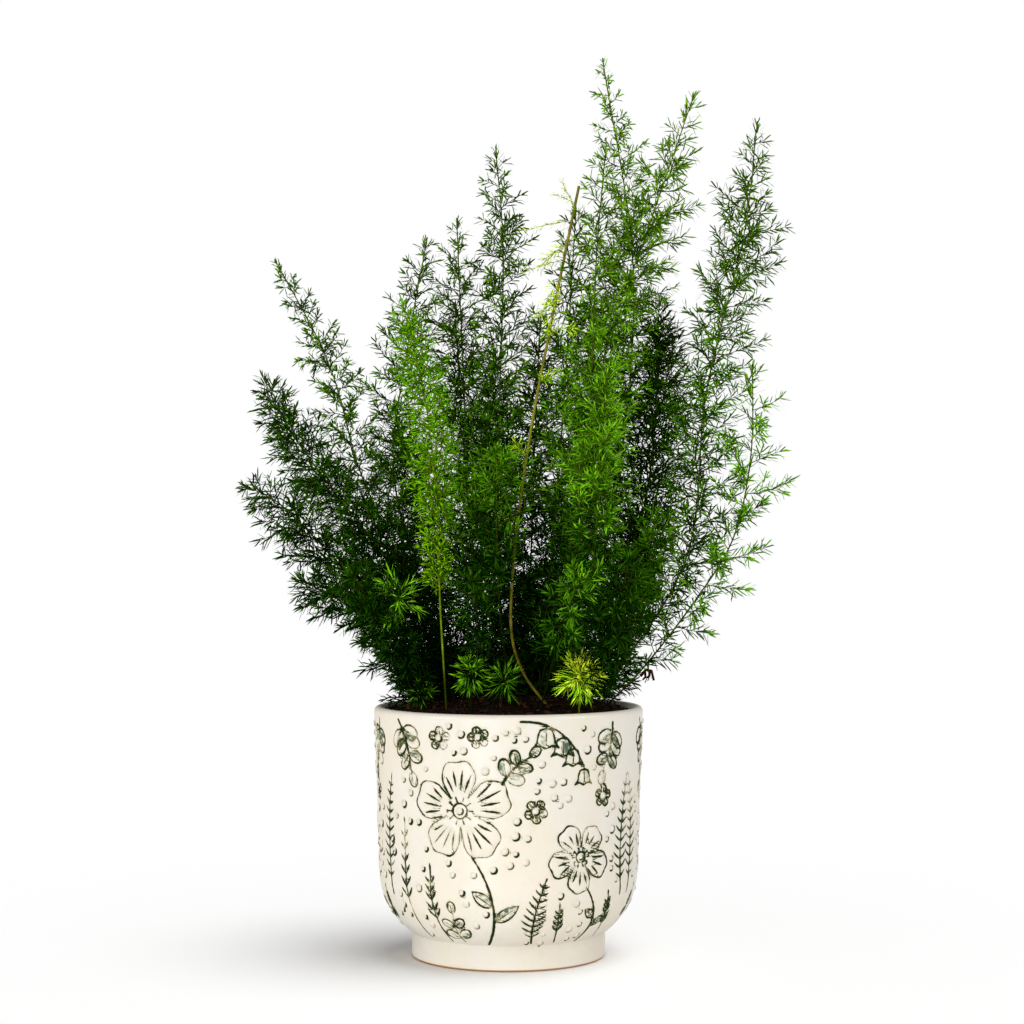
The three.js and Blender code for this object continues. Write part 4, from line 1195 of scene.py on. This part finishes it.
def needle_template():
    """A needle one unit long on +Z: a keeled blade whose two edges swell one after the other."""
    deselect_all()
    bpy.ops.mesh.primitive_cone_add(vertices=3, radius1=0.5, radius2=0.0, depth=1.0, location=(0, 0, 0.5))
    bpy.ops.object.transform_apply(location=True, rotation=True, scale=True)
    places, triangles = take_template()
    edge = (places[:, 2] < 0.5) & (np.abs(places[:, 0]) > 0.1)
    places[~edge, :2] = 0.0
    places[edge, 0] = np.sign(places[edge, 0]) * 0.5
    places[edge, 1] = 0.45
    places[edge, 2] = 0.5 + 0.5 * places[edge, 0]
    return places, triangles


def needle_mesh(name, needles, template):
    """All needles of a piece in one mesh, with the numbers that their material reads."""
    places, triangles = template
    columns = [np.concatenate(group) for group in zip(*needles)]
    origin, heading, _, length = columns[:4]
    keep = clears_pot(origin + heading * length[:, None])
    origin, heading, ahead, length, width, age, crest, droop = (column[keep] for column in columns)
    count = len(origin)
    side = unit(np.cross(heading, ahead))
    upper = np.cross(side, heading)
    across = side * width[:, None]
    thick = upper * (0.5 * width)[:, None]
    bow = upper * (-0.2 * length)[:, None]
    fall = np.array((0.0, 0.0, -1.0)) * (droop * length)[:, None]
    x, y, z = places[:, 0], places[:, 1], places[:, 2]
    world = (origin[:, None] + x[None, :, None] * across[:, None] + y[None, :, None] * thick[:, None]
             + z[None, :, None] * (heading * length[:, None])[:, None]
             + (z * (1 - z))[None, :, None] * bow[:, None]
             + (z * z)[None, :, None] * fall[:, None])
    mesh = copies_mesh(name, world, triangles)
    tint = np.random.default_rng(count).uniform(0, 1, count)
    # The age also carries painted shade: it is lower near the soil and below zero in the heart of the plant
    for key, values in (("tint", tint), ("age", age), ("crest", crest)):
        set_attribute(mesh, key, np.repeat(values, len(places)))
    set_attribute(mesh, "along", np.tile(z, count))
    return mesh


def line_object(name, lines, sides):
    """Stems or branches along lines of points, as one mesh of closed tubes."""
    deselect_all()
    bpy.ops.curve.primitive_bezier_circle_add(radius=MM)
    section = bpy.context.object
    section.data.splines.clear()
    outline = section.data.splines.new("POLY")
    outline.points.add(sides - 1)
    for i, point in enumerate(outline.points):
        angle = -2 * math.pi * i / sides
        point.co = (MM * math.cos(angle), MM * math.sin(angle), 0.0, 1.0)
    outline.use_cyclic_u = True
    curve = bpy.data.curves.new(name, "CURVE")
    curve.dimensions = "3D"
    curve.bevel_mode = "OBJECT"
    curve.bevel_object = section
    curve.use_fill_caps = True
    for points, radii in lines:
        spline = curve.splines.new("POLY")
        spline.points.add(len(points) - 1)
        flat = np.column_stack((points * MM, np.ones(len(points))))
        spline.points.foreach_set("co", flat.ravel())
        spline.points.foreach_set("radius", np.asarray(radii, dtype=float))
    piece = bpy.data.objects.new(name, curve)
    bpy.context.collection.objects.link(piece)
    make_active(piece)
    bpy.ops.object.convert(target="MESH")
    piece = bpy.context.object
    bpy.data.objects.remove(section, do_unlink=True)
    bpy.ops.object.shade_smooth()
    set_attribute(piece.data, "tint", np.full(len(piece.data.vertices), 0.5))
    return piece


def assemble(name, spray, template, materials, node):
    """Joins the stems and needles of one leafy stem into its finished piece."""
    needles = bpy.data.objects.new(name + "_needles", needle_mesh(name, spray.needles, template))
    needles.data.materials.append(materials[1])
    bpy.context.collection.objects.link(needles)
    parts = [line_object(name, spray.stems, 6)]
    if spray.branches:
        parts.append(line_object(name + "_branches", spray.branches, 3))
    deselect_all()
    for part in parts:
        part.data.materials.append(materials[0])
        part.select_set(True)
    needles.select_set(True)
    bpy.context.view_layer.objects.active = parts[0]
    bpy.ops.object.join()
    settle(parts[0], name, [node] if node else [])


def tone_materials(tone):
    """The finishes of the stems and of the needles of one tone."""
    return stem_material(tone), needle_material(tone)


class FERN_OT_plumes(bpy.types.Operator):
    """Grow all the leafy plumes"""
    bl_idname = "fern.plumes"
    bl_label = "Plumes"

    def execute(self, context):
        settings = context.scene.fern_foliage
        template = needle_template()
        for i, (node, tone, root, *habit, route) in enumerate(PLUMES):
            spray = Spray(np.random.default_rng(settings.seed + i))
            grow_plume(spray, root, route, *habit, settings)
            assemble("leafy_" + node, spray, template, tone_materials(tone), node)
        return {"FINISHED"}


class FERN_OT_shoots(bpy.types.Operator):
    """Grow the young shoots that stand on the soil"""
    bl_idname = "fern.shoots"
    bl_label = "Young shoots"

    def execute(self, context):
        settings = context.scene.fern_foliage
        template = needle_template()
        for i, (node, tone, root, top, thickness, arms, reach, needle, youth, ageing) in enumerate(SHOOTS):
            random = np.random.default_rng(settings.seed + SHOOT_SEED + i)
            spray = Spray(random, in_the_open=True)
            foot = np.array(rooted(root))
            line, direction, _ = stem_line([foot, top], SHOOT_STALK_PIECES)
            radii = np.linspace(thickness, 0.8 * thickness, SHOOT_STALK_PIECES + 1)
            spray.stems.append((np.vstack((foot - direction[0] * BURIED, line)), radii))
            for arm in range(arms):
                low = (arm + 0.5) / arms
                age = youth - ageing * low
                lean = 0.2 + 2.3 * low + random.normal(0, 0.12)
                grow_branch(spray, line[-1] - direction[-1] * 4.0 * low, direction[-1], arm * GOLDEN_ANGLE,
                            reach, age, 0.0, needle, settings, twigs=False, lean=lean, settled=lean + 0.3,
                            spread=0.5, width=SHOOT_NEEDLE_WIDTH)
            assemble("leafy_" + node, spray, template, tone_materials(tone), node)
        return {"FINISHED"}


class FERN_OT_old_stem(bpy.types.Operator):
    """Model the old bare stem with its thin sprigs"""
    bl_idname = "fern.old_stem"
    bl_label = "Old stem"

    def execute(self, context):
        settings = context.scene.fern_foliage
        node, root, route = OLD_STEM
        spray = Spray(np.random.default_rng(settings.seed + OLD_STEM_SEED))
        foot = np.array(rooted(root))
        line, direction, _ = stem_line([foot, *route], OLD_STEM_PIECES)
        knots = np.arange(OLD_STEM_PIECES + 1) % KNOT_EVERY == 0
        radii = np.linspace(*OLD_STEM_RADII, OLD_STEM_PIECES + 1) + KNOT_HEIGHT * knots
        spray.stems.append((np.vstack((foot - direction[0] * BURIED, line)), radii))
        for height, end, needle in OLD_STEM_SPRIGS:
            i = int(np.argmin(np.abs(line[:, 2] - height)))
            self.grow_sprig(spray, line[i], np.array(end), needle)
        materials = (wood_material(), needle_material("yellow"))
        assemble("old_bare_stem", spray, needle_template(), materials, node)
        return {"FINISHED"}

    def grow_sprig(self, spray, root, end, needle):
        """A thread-like side branch, bowed upwards, with a row of small needles on both sides."""
        t = np.linspace(0, 1, SPRIG_POINTS)[:, None]
        rise = np.array((0.0, 0.0, 0.12 * np.linalg.norm(end - root)))
        points = root + (end - root) * t + rise * t * (1 - t)
        spray.branches.append((points, np.linspace(*SPRIG_RADII, SPRIG_POINTS)))
        directions = unit(np.gradient(points, axis=0))
        step = 1.5 * np.linalg.norm(end - root) / (SPRIG_POINTS - 1)
        spray.tufts(points, directions, 2, step, THREAD_NEEDLE_WIDTH, 0.0, 0.7, spread=0.04, droop=0.0)
        spray.tufts(points[1:], directions[1:], 4, 1.2 * needle, SPRIG_NEEDLE_WIDTH, 0.95, 0.6)


class FERN_OT_dry_sprig(bpy.types.Operator):
    """Model the small dry sprig low on the right"""
    bl_idname = "fern.dry_sprig"
    bl_label = "Dry sprig"

    def execute(self, context):
        spray = Spray(np.random.default_rng(DRY_SEED))
        for radius, *points in DRY_TWIGS:
            points = np.array(points, dtype=float)
            spray.stems.append((points, np.linspace(radius, 0.7 * radius, len(points))))
        spray.tufts(points[-2:], unit(np.diff(points, axis=0)[-2:]), 3, 3.0, 1.2, 0.6, 0.0)
        brown = dry_material()
        assemble("dry_sprig", spray, needle_template(), (brown, brown), None)
        return {"FINISHED"}


# ---------------------------------------------------------------- materials

def new_material(name):
    """A material with an empty Principled surface."""
    material = bpy.data.materials.new(name)
    material.use_nodes = True
    return material, material.node_tree, material.node_tree.nodes["Principled BSDF"]


def add_node(tree, kind, **inputs):
    """A node with some of its input values set, by socket name."""
    node = tree.nodes.new(kind)
    for name, value in inputs.items():
        node.inputs[name.replace("_", " ")].default_value = value
    return node


def attribute_value(tree, name):
    """A number that is stored for each vertex."""
    node = tree.nodes.new("ShaderNodeAttribute")
    node.attribute_name = name
    return node.outputs["Fac"]


def link(tree, output, target):
    tree.links.new(output, target)


def mixed(tree, factor, first, second):
    """Colour between two colours, which are sockets or plain colours."""
    node = tree.nodes.new("ShaderNodeMix")
    node.data_type = "RGBA"
    sockets = [s for s in node.inputs if s.type == "RGBA"]
    for socket, value in zip(sockets, (first, second)):
        if isinstance(value, bpy.types.NodeSocket):
            link(tree, value, socket)
        else:
            socket.default_value = (*value, 1.0)
    if isinstance(factor, bpy.types.NodeSocket):
        link(tree, factor, node.inputs["Factor"])
    else:
        node.inputs["Factor"].default_value = factor
    return next(s for s in node.outputs if s.type == "RGBA")


def multiplied(tree, first, second):
    """One colour dyed with another."""
    result = mixed(tree, 1.0, first, second)
    result.node.blend_type = "MULTIPLY"
    return result


def ranged(tree, value, low, high, to_low=0.0, to_high=1.0):
    """A value brought from one range to another, with soft ends."""
    node = tree.nodes.new("ShaderNodeMapRange")
    node.interpolation_type = "SMOOTHSTEP"
    link(tree, value, node.inputs["Value"])
    node.inputs["From Min"].default_value = low
    node.inputs["From Max"].default_value = high
    node.inputs["To Min"].default_value = to_low
    node.inputs["To Max"].default_value = to_high
    return node.outputs["Result"]


def maths(tree, operation, first, second):
    """The result of a sum on two values, which are sockets or plain numbers."""
    node = tree.nodes.new("ShaderNodeMath")
    node.operation = operation
    for socket, value in zip(node.inputs, (first, second)):
        if isinstance(value, bpy.types.NodeSocket):
            link(tree, value, socket)
        else:
            socket.default_value = value
    return node.outputs["Value"]


def noise_value(tree, scale, detail=4.0, roughness=0.55):
    """Noise over the object, in its own coordinates."""
    place = tree.nodes.new("ShaderNodeTexCoord")
    node = add_node(tree, "ShaderNodeTexNoise", Scale=scale, Detail=detail, Roughness=roughness)
    link(tree, place.outputs["Object"], node.inputs["Vector"])
    return node.outputs["Fac"]


def place_value(tree, axis):
    """Where a point lies along one axis; along Z it is the height above the ground."""
    place = tree.nodes.new("ShaderNodeTexCoord")
    split = tree.nodes.new("ShaderNodeSeparateXYZ")
    link(tree, place.outputs["Object"], split.inputs["Vector"])
    return split.outputs[axis]


def finish(tree, surface, colour, roughness, specular=0.0):
    """Gives a surface its colour, its roughness, as a socket or a number, and how much it shines."""
    link(tree, colour, surface.inputs["Base Color"])
    if isinstance(roughness, bpy.types.NodeSocket):
        link(tree, roughness, surface.inputs["Roughness"])
    else:
        surface.inputs["Roughness"].default_value = roughness
    surface.inputs["Specular IOR Level"].default_value = specular


def emboss(tree, surface, height, strength, distance):
    """Lets a height show as fine relief; the distance is in metres."""
    bump = add_node(tree, "ShaderNodeBump", Strength=strength, Distance=distance)
    link(tree, height, bump.inputs["Height"])
    link(tree, bump.outputs["Normal"], surface.inputs["Normal"])


def living_green():
    """The shading that all foliage shares: needles vary one by one, by age and in patches, with painted shade
    in the heart of the plant and on the olive tops.
    """
    name = "living_green"
    if name in bpy.data.node_groups:
        return bpy.data.node_groups[name]
    group = bpy.data.node_groups.new(name, "ShaderNodeTree")
    for socket in ("New Growth", "Old Growth"):
        group.interface.new_socket(socket, in_out="INPUT", socket_type="NodeSocketColor")
    for socket in ("Age", "Tint", "Crest"):
        group.interface.new_socket(socket, in_out="INPUT", socket_type="NodeSocketFloat")
    group.interface.new_socket("Color", in_out="OUTPUT", socket_type="NodeSocketColor")
    group.interface.new_socket("Roughness", in_out="OUTPUT", socket_type="NodeSocketFloat")
    start = group.nodes.new("NodeGroupInput")
    end = group.nodes.new("NodeGroupOutput")
    patches = ranged(group, noise_value(group, 45.0), 0.3, 0.7, -0.25, 0.25)
    drawn = ranged(group, start.outputs["Tint"], 0.0, 1.0, -0.15, 0.15)
    age = maths(group, "ADD", start.outputs["Age"], maths(group, "ADD", patches, drawn))
    colour = mixed(group, ranged(group, age, 0.0, 1.0),
                   start.outputs["Old Growth"], start.outputs["New Growth"])
    # Painted shade: an Age below zero, given deep in the heart of the plant, darkens the needles past their
    # oldest colour
    heart = ranged(group, start.outputs["Age"], -0.8, 0.0, 0.42, 1.0)
    hue = add_node(group, "ShaderNodeHueSaturation", Hue=0.5, Saturation=1.0)
    # The tops turn olive and darker: partly an olive tone, partly painted shade
    olive = mixed(group, start.outputs["Crest"], (1.0, 1.0, 1.0), OLIVE_AND_SHADE_DYE)
    link(group, multiplied(group, colour, olive), hue.inputs["Color"])
    value = ranged(group, start.outputs["Tint"], 0.0, 1.0, 0.7, 1.3)
    link(group, maths(group, "MULTIPLY", value, heart), hue.inputs["Value"])
    link(group, hue.outputs["Color"], end.inputs["Color"])
    link(group, ranged(group, patches, -0.25, 0.25, 0.50, 0.65), end.inputs["Roughness"])
    return group


def needle_material(tone):
    """Matt needles of one tone, new growth and old, a little darker towards their tips."""
    name = "needles_" + tone
    if name in bpy.data.materials:
        return bpy.data.materials[name]
    material, tree, surface = new_material(name)
    young, old = TONES[tone]
    group = tree.nodes.new("ShaderNodeGroup")
    group.node_tree = living_green()
    group.inputs["New Growth"].default_value = (*young, 1.0)
    group.inputs["Old Growth"].default_value = (*old, 1.0)
    for socket in ("Age", "Tint"):
        link(tree, attribute_value(tree, socket.lower()), group.inputs[socket])
    # How far the top turns olive and takes on painted shade, for this tone
    olive = maths(tree, "MULTIPLY", attribute_value(tree, "crest"), OLIVE_AND_SHADE_CREST.get(tone, 1.0))
    link(tree, olive, group.inputs["Crest"])
    tip, amount = (old, 0.6) if tone == "yellow" else (tuple(0.5 * c for c in young), 0.22)
    towards_tip = ranged(tree, attribute_value(tree, "along"), 0.35, 1.0, 0.0, amount)
    colour = mixed(tree, towards_tip, group.outputs["Color"], tip)
    finish(tree, surface, colour, group.outputs["Roughness"])
    return material


def stem_material(tone):
    """Green stems, darkened nearly to black with painted shade low in the plant, except on the lit right-hand
    side.
    """
    name = "stems_" + tone
    if name in bpy.data.materials:
        return bpy.data.materials[name]
    material, tree, surface = new_material(name)
    dark, pale, low, high = STEM_TONES.get(tone, STEM_TONES["other"])
    colour = mixed(tree, ranged(tree, noise_value(tree, 160.0), 0.35, 0.65), dark, pale)
    lit = ranged(tree, place_value(tree, "Z"), low * MM, high * MM)
    right, far_right = (side * MM for side in LIT_SIDE)
    lit = maths(tree, "MAXIMUM", lit, ranged(tree, place_value(tree, "X"), right, far_right))
    # Painted shade: low in the plant, away from the lit right-hand side, the stem is nearly black
    colour = mixed(tree, lit, tuple(0.22 * c for c in dark), colour)
    finish(tree, surface, colour, 0.55)
    emboss(tree, surface, noise_value(tree, 900.0), 0.4, 0.3 * MM)
    return material


def wood_material():
    """Pale weathered wood with a breath of green."""
    material, tree, surface = new_material("weathered_wood")
    grain = ranged(tree, noise_value(tree, 120.0, 6.0), 0.3, 0.7)
    patches = ranged(tree, noise_value(tree, 18.0, 2.0), 0.4, 0.7)
    colour = mixed(tree, patches, mixed(tree, grain, WOOD_DARK, WOOD_PALE), WOOD_GREEN)
    finish(tree, surface, colour, 0.65)
    emboss(tree, surface, noise_value(tree, 500.0, 6.0), 0.6, 0.4 * MM)
    return material


def dry_material():
    """Dead brown needles and twigs."""
    material, tree, surface = new_material("dry_needles")
    colour = mixed(tree, ranged(tree, noise_value(tree, 300.0), 0.35, 0.65), DRY_DARK, DRY_PALE)
    finish(tree, surface, colour, ranged(tree, noise_value(tree, 80.0), 0.3, 0.7, 0.6, 0.85))
    return material


def soil_material(settings):
    """Damp dark compost, with paler grains and some crumbs of bark."""
    material, tree, surface = new_material("damp_compost")
    dark = tuple(settings.colour)
    pale = tuple(min(1.0, 3.4 * c) for c in dark)
    grain = ranged(tree, noise_value(tree, 350.0, 6.0, 0.65), 0.35, 0.68)
    crumb = ranged(tree, attribute_value(tree, "tint"), 0.45, 1.0)
    colour = mixed(tree, maths(tree, "MULTIPLY", grain, 0.6), dark, pale)
    colour = mixed(tree, maths(tree, "MULTIPLY", crumb, 0.55), colour, BARK)
    finish(tree, surface, colour, ranged(tree, grain, 0.0, 1.0, 0.95, 0.75), specular=0.04)
    emboss(tree, surface, noise_value(tree, 700.0, 8.0, 0.7), 0.8, 0.8 * MM)
    return material


def edge_distance(tree, mark):
    """How far a point is from the edge of the nearest mark, in millimetres, and the way to its middle.

    The length of the way is true between vertices too, where the stored gap has lost its sharp bottom;
    the stored gap in turn stops the marks that the way would draw midway between two real ones.
    """
    way = tree.nodes.new("ShaderNodeAttribute")
    way.attribute_name = mark + "_way"
    length = tree.nodes.new("ShaderNodeVectorMath")
    length.operation = "LENGTH"
    link(tree, way.outputs["Vector"], length.inputs[0])
    true_gap = maths(tree, "SUBTRACT", length.outputs["Value"], attribute_value(tree, mark + "_half"))
    stored_gap = maths(tree, "SUBTRACT", attribute_value(tree, mark + "_gap"), 0.45)
    return maths(tree, "MAXIMUM", true_gap, stored_gap), way.outputs["Vector"]


def lower_right(tree, way, half):
    """From -1 on the upper left side of a pearl to 1 on its lower right side."""
    turn = tree.nodes.new("ShaderNodeVectorMath")
    turn.operation = "DOT_PRODUCT"
    link(tree, way, turn.inputs[0])
    turn.inputs[1].default_value = (0.75, -0.66, 0.0)
    return maths(tree, "DIVIDE", turn.outputs["Value"], maths(tree, "MAXIMUM", half, 0.2))


def glaze_material(settings):
    """Cream glaze with green pigment rubbed into the lines and beside the pearls, where a crescent on their
    lower right side is partly painted shadow.
    """
    material, tree, surface = new_material("cream_glaze")
    glaze, stain = tuple(settings.glaze), tuple(settings.stain)
    warm = tuple(c * f for c, f in zip(glaze, (1.0, 0.965, 0.90)))
    body = mixed(tree, ranged(tree, noise_value(tree, 24.0, 3.0), 0.35, 0.65), glaze, warm)
    line, _ = edge_distance(tree, "line")
    dot, dot_way = edge_distance(tree, "dot")
    patchy = noise_value(tree, 75.0, 3.0)
    wander = ranged(tree, noise_value(tree, 480.0, 3.0), 0.25, 0.75, -0.16, 0.16)

    # Lines: their edges wander, and where little pigment was laid on they are thin and pale
    laid_on = maths(tree, "ADD", attribute_value(tree, "line_ink"),
                    ranged(tree, patchy, 0.32, 0.64, -0.5, 0.4))
    full = ranged(tree, laid_on, 0.10, 0.95)
    edge = maths(tree, "ADD", maths(tree, "ADD", line, wander), ranged(tree, full, 0.0, 1.0, 0.24, -0.08))
    line_mask = ranged(tree, edge, -0.08, 0.16, 1.0, 0.0)
    core = maths(tree, "MULTIPLY", ranged(tree, edge, -0.30, 0.0, 1.0, 0.0),
                 ranged(tree, full, 0.0, 0.7, 0.25, 1.0))

    # Pearls: a crescent round their lower right side, away from the light, is dark green: partly pigment,
    # partly painted shadow
    dot_full = attribute_value(tree, "dot_ink")
    side = lower_right(tree, dot_way, attribute_value(tree, "dot_half"))
    rim = maths(tree, "ABSOLUTE", maths(tree, "ADD", dot, -0.05), 0.0)
    stain_and_shadow_crescent = maths(tree, "MULTIPLY", ranged(tree, side, -0.5, 0.7, 0.10, 1.0),
                     ranged(tree, dot_full, 0.0, 0.8, 0.35, 1.0))
    rim_edge = maths(tree, "SUBTRACT", maths(tree, "ADD", rim, wander),
                     maths(tree, "MULTIPLY", stain_and_shadow_crescent, 0.62))
    dot_mask = maths(tree, "MULTIPLY", ranged(tree, rim_edge, -0.15, 0.25, 1.0, 0.0),
                     ranged(tree, stain_and_shadow_crescent, 0.0, 0.5, 0.20, 1.0))
    dot_core = maths(tree, "MULTIPLY", ranged(tree, rim_edge, -0.35, 0.05, 1.0, 0.0),
                     ranged(tree, dot_full, 0.0, 0.6, 0.2, 1.0))

    # Colour, from the glaze's body up to the lines, and the bare clay under the foot
    halo = ranged(tree, maths(tree, "MINIMUM", line, dot), 0.0, 2.4, 0.20, 0.0)
    blotch = ranged(tree, noise_value(tree, 150.0, 5.0, 0.7), 0.42, 0.72)
    smudge = maths(tree, "MULTIPLY", maths(tree, "ADD", halo, 0.10), blotch)
    colour = mixed(tree, smudge, body, SMUDGE)
    brushed = ranged(tree, noise_value(tree, 330.0, 4.0), 0.36, 0.60, 0.2, 1.0)
    wash = maths(tree, "MULTIPLY", attribute_value(tree, "wash"), brushed)
    washed = mixed(tree, ranged(tree, wash, 0.2, 0.8), PALE_WASH, DEEP_WASH)
    colour = mixed(tree, ranged(tree, wash, 0.02, 0.75, 0.0, 0.92), colour, washed)
    for mask, deep in ((dot_mask, dot_core), (line_mask, core)):
        colour = mixed(tree, mask, colour, mixed(tree, deep, THIN_STAIN, stain))
    bare_edge = ranged(tree, place_value(tree, "Z"), 0.7 * MM, 1.3 * MM, 1.0, 0.0)
    colour = mixed(tree, bare_edge, colour, BARE_CLAY)
    finish(tree, surface, colour, ranged(tree, patchy, 0.3, 0.7, 0.42, 0.58), specular=0.06)

    # The clear coat lies on bare glaze alone, and fine relief follows the marks
    covered = maths(tree, "MAXIMUM", line_mask, maths(tree, "MAXIMUM", dot_mask, wash))
    bare = maths(tree, "SUBTRACT", 1.0, covered)
    link(tree, maths(tree, "MULTIPLY", bare, 0.35), surface.inputs["Coat Weight"])
    surface.inputs["Coat Roughness"].default_value = 0.32
    groove = ranged(tree, line, -0.5, 0.35)
    pearl = ranged(tree, dot, -1.3, 0.15, 1.3, 0.0)
    fine = maths(tree, "MULTIPLY", noise_value(tree, 260.0, 4.0), 0.25)
    uneven = maths(tree, "MULTIPLY", noise_value(tree, 42.0, 2.0), 1.4)
    height = maths(tree, "ADD", maths(tree, "ADD", groove, pearl), maths(tree, "ADD", fine, uneven))
    emboss(tree, surface, height, 0.6, 0.5 * MM)
    return material


# ---------------------------------------------------------------- stage

def aimed(lamp, place, target):
    """Hangs a lamp at a place and turns it to its target."""
    lamp.location = place
    lamp.rotation_euler = (Vector(target) - Vector(place)).to_track_quat("-Z", "Y").to_euler()
    bpy.context.collection.objects.link(lamp)


def area_light(name, place, target, size, power, colour):
    """A soft round lamp."""
    data = bpy.data.lights.new(name, "AREA")
    data.shape = "DISK"
    data.size = size
    data.energy = power
    data.color = colour
    lamp = bpy.data.objects.new(name, data)
    aimed(lamp, place, target)
    return lamp


def receivers(name, pieces, state):
    """A set of pieces that a lamp is tied to, or all but which it is tied to."""
    group = bpy.data.collections.new(name)
    for piece in pieces:
        group.objects.link(piece)
    for member in group.collection_objects:
        member.light_linking.link_state = state
    return group


class FERN_OT_stage(bpy.types.Operator):
    """Lay the plain floor, hang the soft lights and place the camera"""
    bl_idname = "fern.stage"
    bl_label = "Stage"

    def execute(self, context):
        settings = context.scene.fern_stage
        floor = self.lay_floor(settings)
        self.surround(context.scene)
        self.light(floor)
        self.place_camera(context.scene, settings)
        return {"FINISHED"}

    def lay_floor(self, settings):
        deselect_all()
        bpy.ops.mesh.primitive_plane_add(size=FLOOR_SIZE, location=(0, 0, 0))
        floor = bpy.context.object
        floor.name = "floor"
        material, _, surface = new_material("plain_floor")
        surface.inputs["Base Color"].default_value = (*settings.floor, 1.0)
        surface.inputs["Roughness"].default_value = 0.9
        surface.inputs["Specular IOR Level"].default_value = 0.1
        floor.data.materials.append(material)
        return floor

    def surround(self, scene):
        """A white room that is seen white and lights the object more gently."""
        world = bpy.data.worlds.new("soft_white")
        world.use_nodes = True
        tree = world.node_tree
        seen = tree.nodes["Background"]
        soft = tree.nodes.new("ShaderNodeBackground")
        for background, strength in ((seen, 1.0), (soft, ROOM_LIGHT)):
            background.inputs["Color"].default_value = (1.0, 1.0, 1.0, 1.0)
            background.inputs["Strength"].default_value = strength
        path = tree.nodes.new("ShaderNodeLightPath")
        choice = tree.nodes.new("ShaderNodeMixShader")
        link(tree, path.outputs["Is Camera Ray"], choice.inputs["Fac"])
        link(tree, soft.outputs["Background"], choice.inputs[1])
        link(tree, seen.outputs["Background"], choice.inputs[2])
        link(tree, choice.outputs["Shader"], tree.nodes["World Output"].inputs["Surface"])
        scene.world = world
        scene.view_settings.view_transform = "Standard"

    def light(self, floor):
        """Soft lamps from the left, front, right and below, and one for the leaves alone.

        None of them lights the floor. It has a wide lamp to itself, in which only the pot throws a
        shadow.
        """
        pot = bpy.data.objects["ceramic_pot"]
        lamps = {name: area_light(name, *values) for name, values in LAMPS.items()}
        for name in ("key", "side", "front", "bounce"):
            lamps[name].light_linking.receiver_collection = receivers(name + "_lights", [floor], "EXCLUDE")
        for name in ("front", "bounce"):
            lamps[name].light_linking.blocker_collection = receivers(name + "_shades", [floor], "EXCLUDE")
        leaf_lit = receivers("leaf_lamp_lights", [floor, pot], "EXCLUDE")
        lamps["leaf_lamp"].light_linking.receiver_collection = leaf_lit
        data = bpy.data.lights.new("floor_lamp", "SUN")
        data.energy = FLOOR_LAMP_POWER
        data.angle = FLOOR_LAMP_SPREAD
        lamp = bpy.data.objects.new("floor_lamp", data)
        aimed(lamp, FLOOR_LAMP_PLACE, (0.0, 0.0, 0.0))
        lamp.light_linking.receiver_collection = receivers("floor_lamp_lights", [floor], "INCLUDE")
        lamp.light_linking.blocker_collection = receivers("floor_lamp_shades", [pot], "INCLUDE")

    def place_camera(self, scene, settings):
        data = bpy.data.cameras.new("camera")
        data.lens = settings.lens
        data.sensor_width = SENSOR_WIDTH
        data.shift_x, data.shift_y = CAMERA_SHIFT
        camera = bpy.data.objects.new("camera", data)
        camera.location = (0.0, -settings.distance, settings.height)
        camera.rotation_euler = (math.pi / 2, 0.0, 0.0)
        bpy.context.collection.objects.link(camera)
        scene.camera = camera


# ---------------------------------------------------------------- add-on

OPERATORS = (FERN_OT_pot, FERN_OT_soil, FERN_OT_plumes, FERN_OT_shoots, FERN_OT_old_stem, FERN_OT_dry_sprig,
             FERN_OT_stage)
SETTINGS = {
    "fern_pot": PotSettings,
    "fern_soil": SoilSettings,
    "fern_foliage": FoliageSettings,
    "fern_stage": StageSettings,
}


class FERN_PT_panel(bpy.types.Panel):
    """Lists the pieces of the fern and their sizes"""
    bl_idname = "FERN_PT_panel"
    bl_label = "Foxtail Fern"
    bl_space_type = "VIEW_3D"
    bl_region_type = "UI"
    bl_category = "Fern"

    def draw(self, context):
        for operator in OPERATORS:
            self.layout.operator(operator.bl_idname)
        for name, group in SETTINGS.items():
            box = self.layout.box()
            for key in group.__annotations__:
                box.prop(getattr(context.scene, name), key)


def register():
    for cls in (*SETTINGS.values(), *OPERATORS, FERN_PT_panel):
        bpy.utils.register_class(cls)
    for name, group in SETTINGS.items():
        setattr(bpy.types.Scene, name, bpy.props.PointerProperty(type=group))


def unregister():
    for name in SETTINGS:
        delattr(bpy.types.Scene, name)
    for cls in (FERN_PT_panel, *reversed(OPERATORS), *SETTINGS.values()):
        bpy.utils.unregister_class(cls)


def main():
    register()
    bpy.ops.fern.pot()
    bpy.ops.fern.soil()
    bpy.ops.fern.plumes()
    bpy.ops.fern.shoots()
    bpy.ops.fern.old_stem()
    bpy.ops.fern.dry_sprig()
    bpy.ops.fern.stage()


if __name__ == "__main__":
    main()
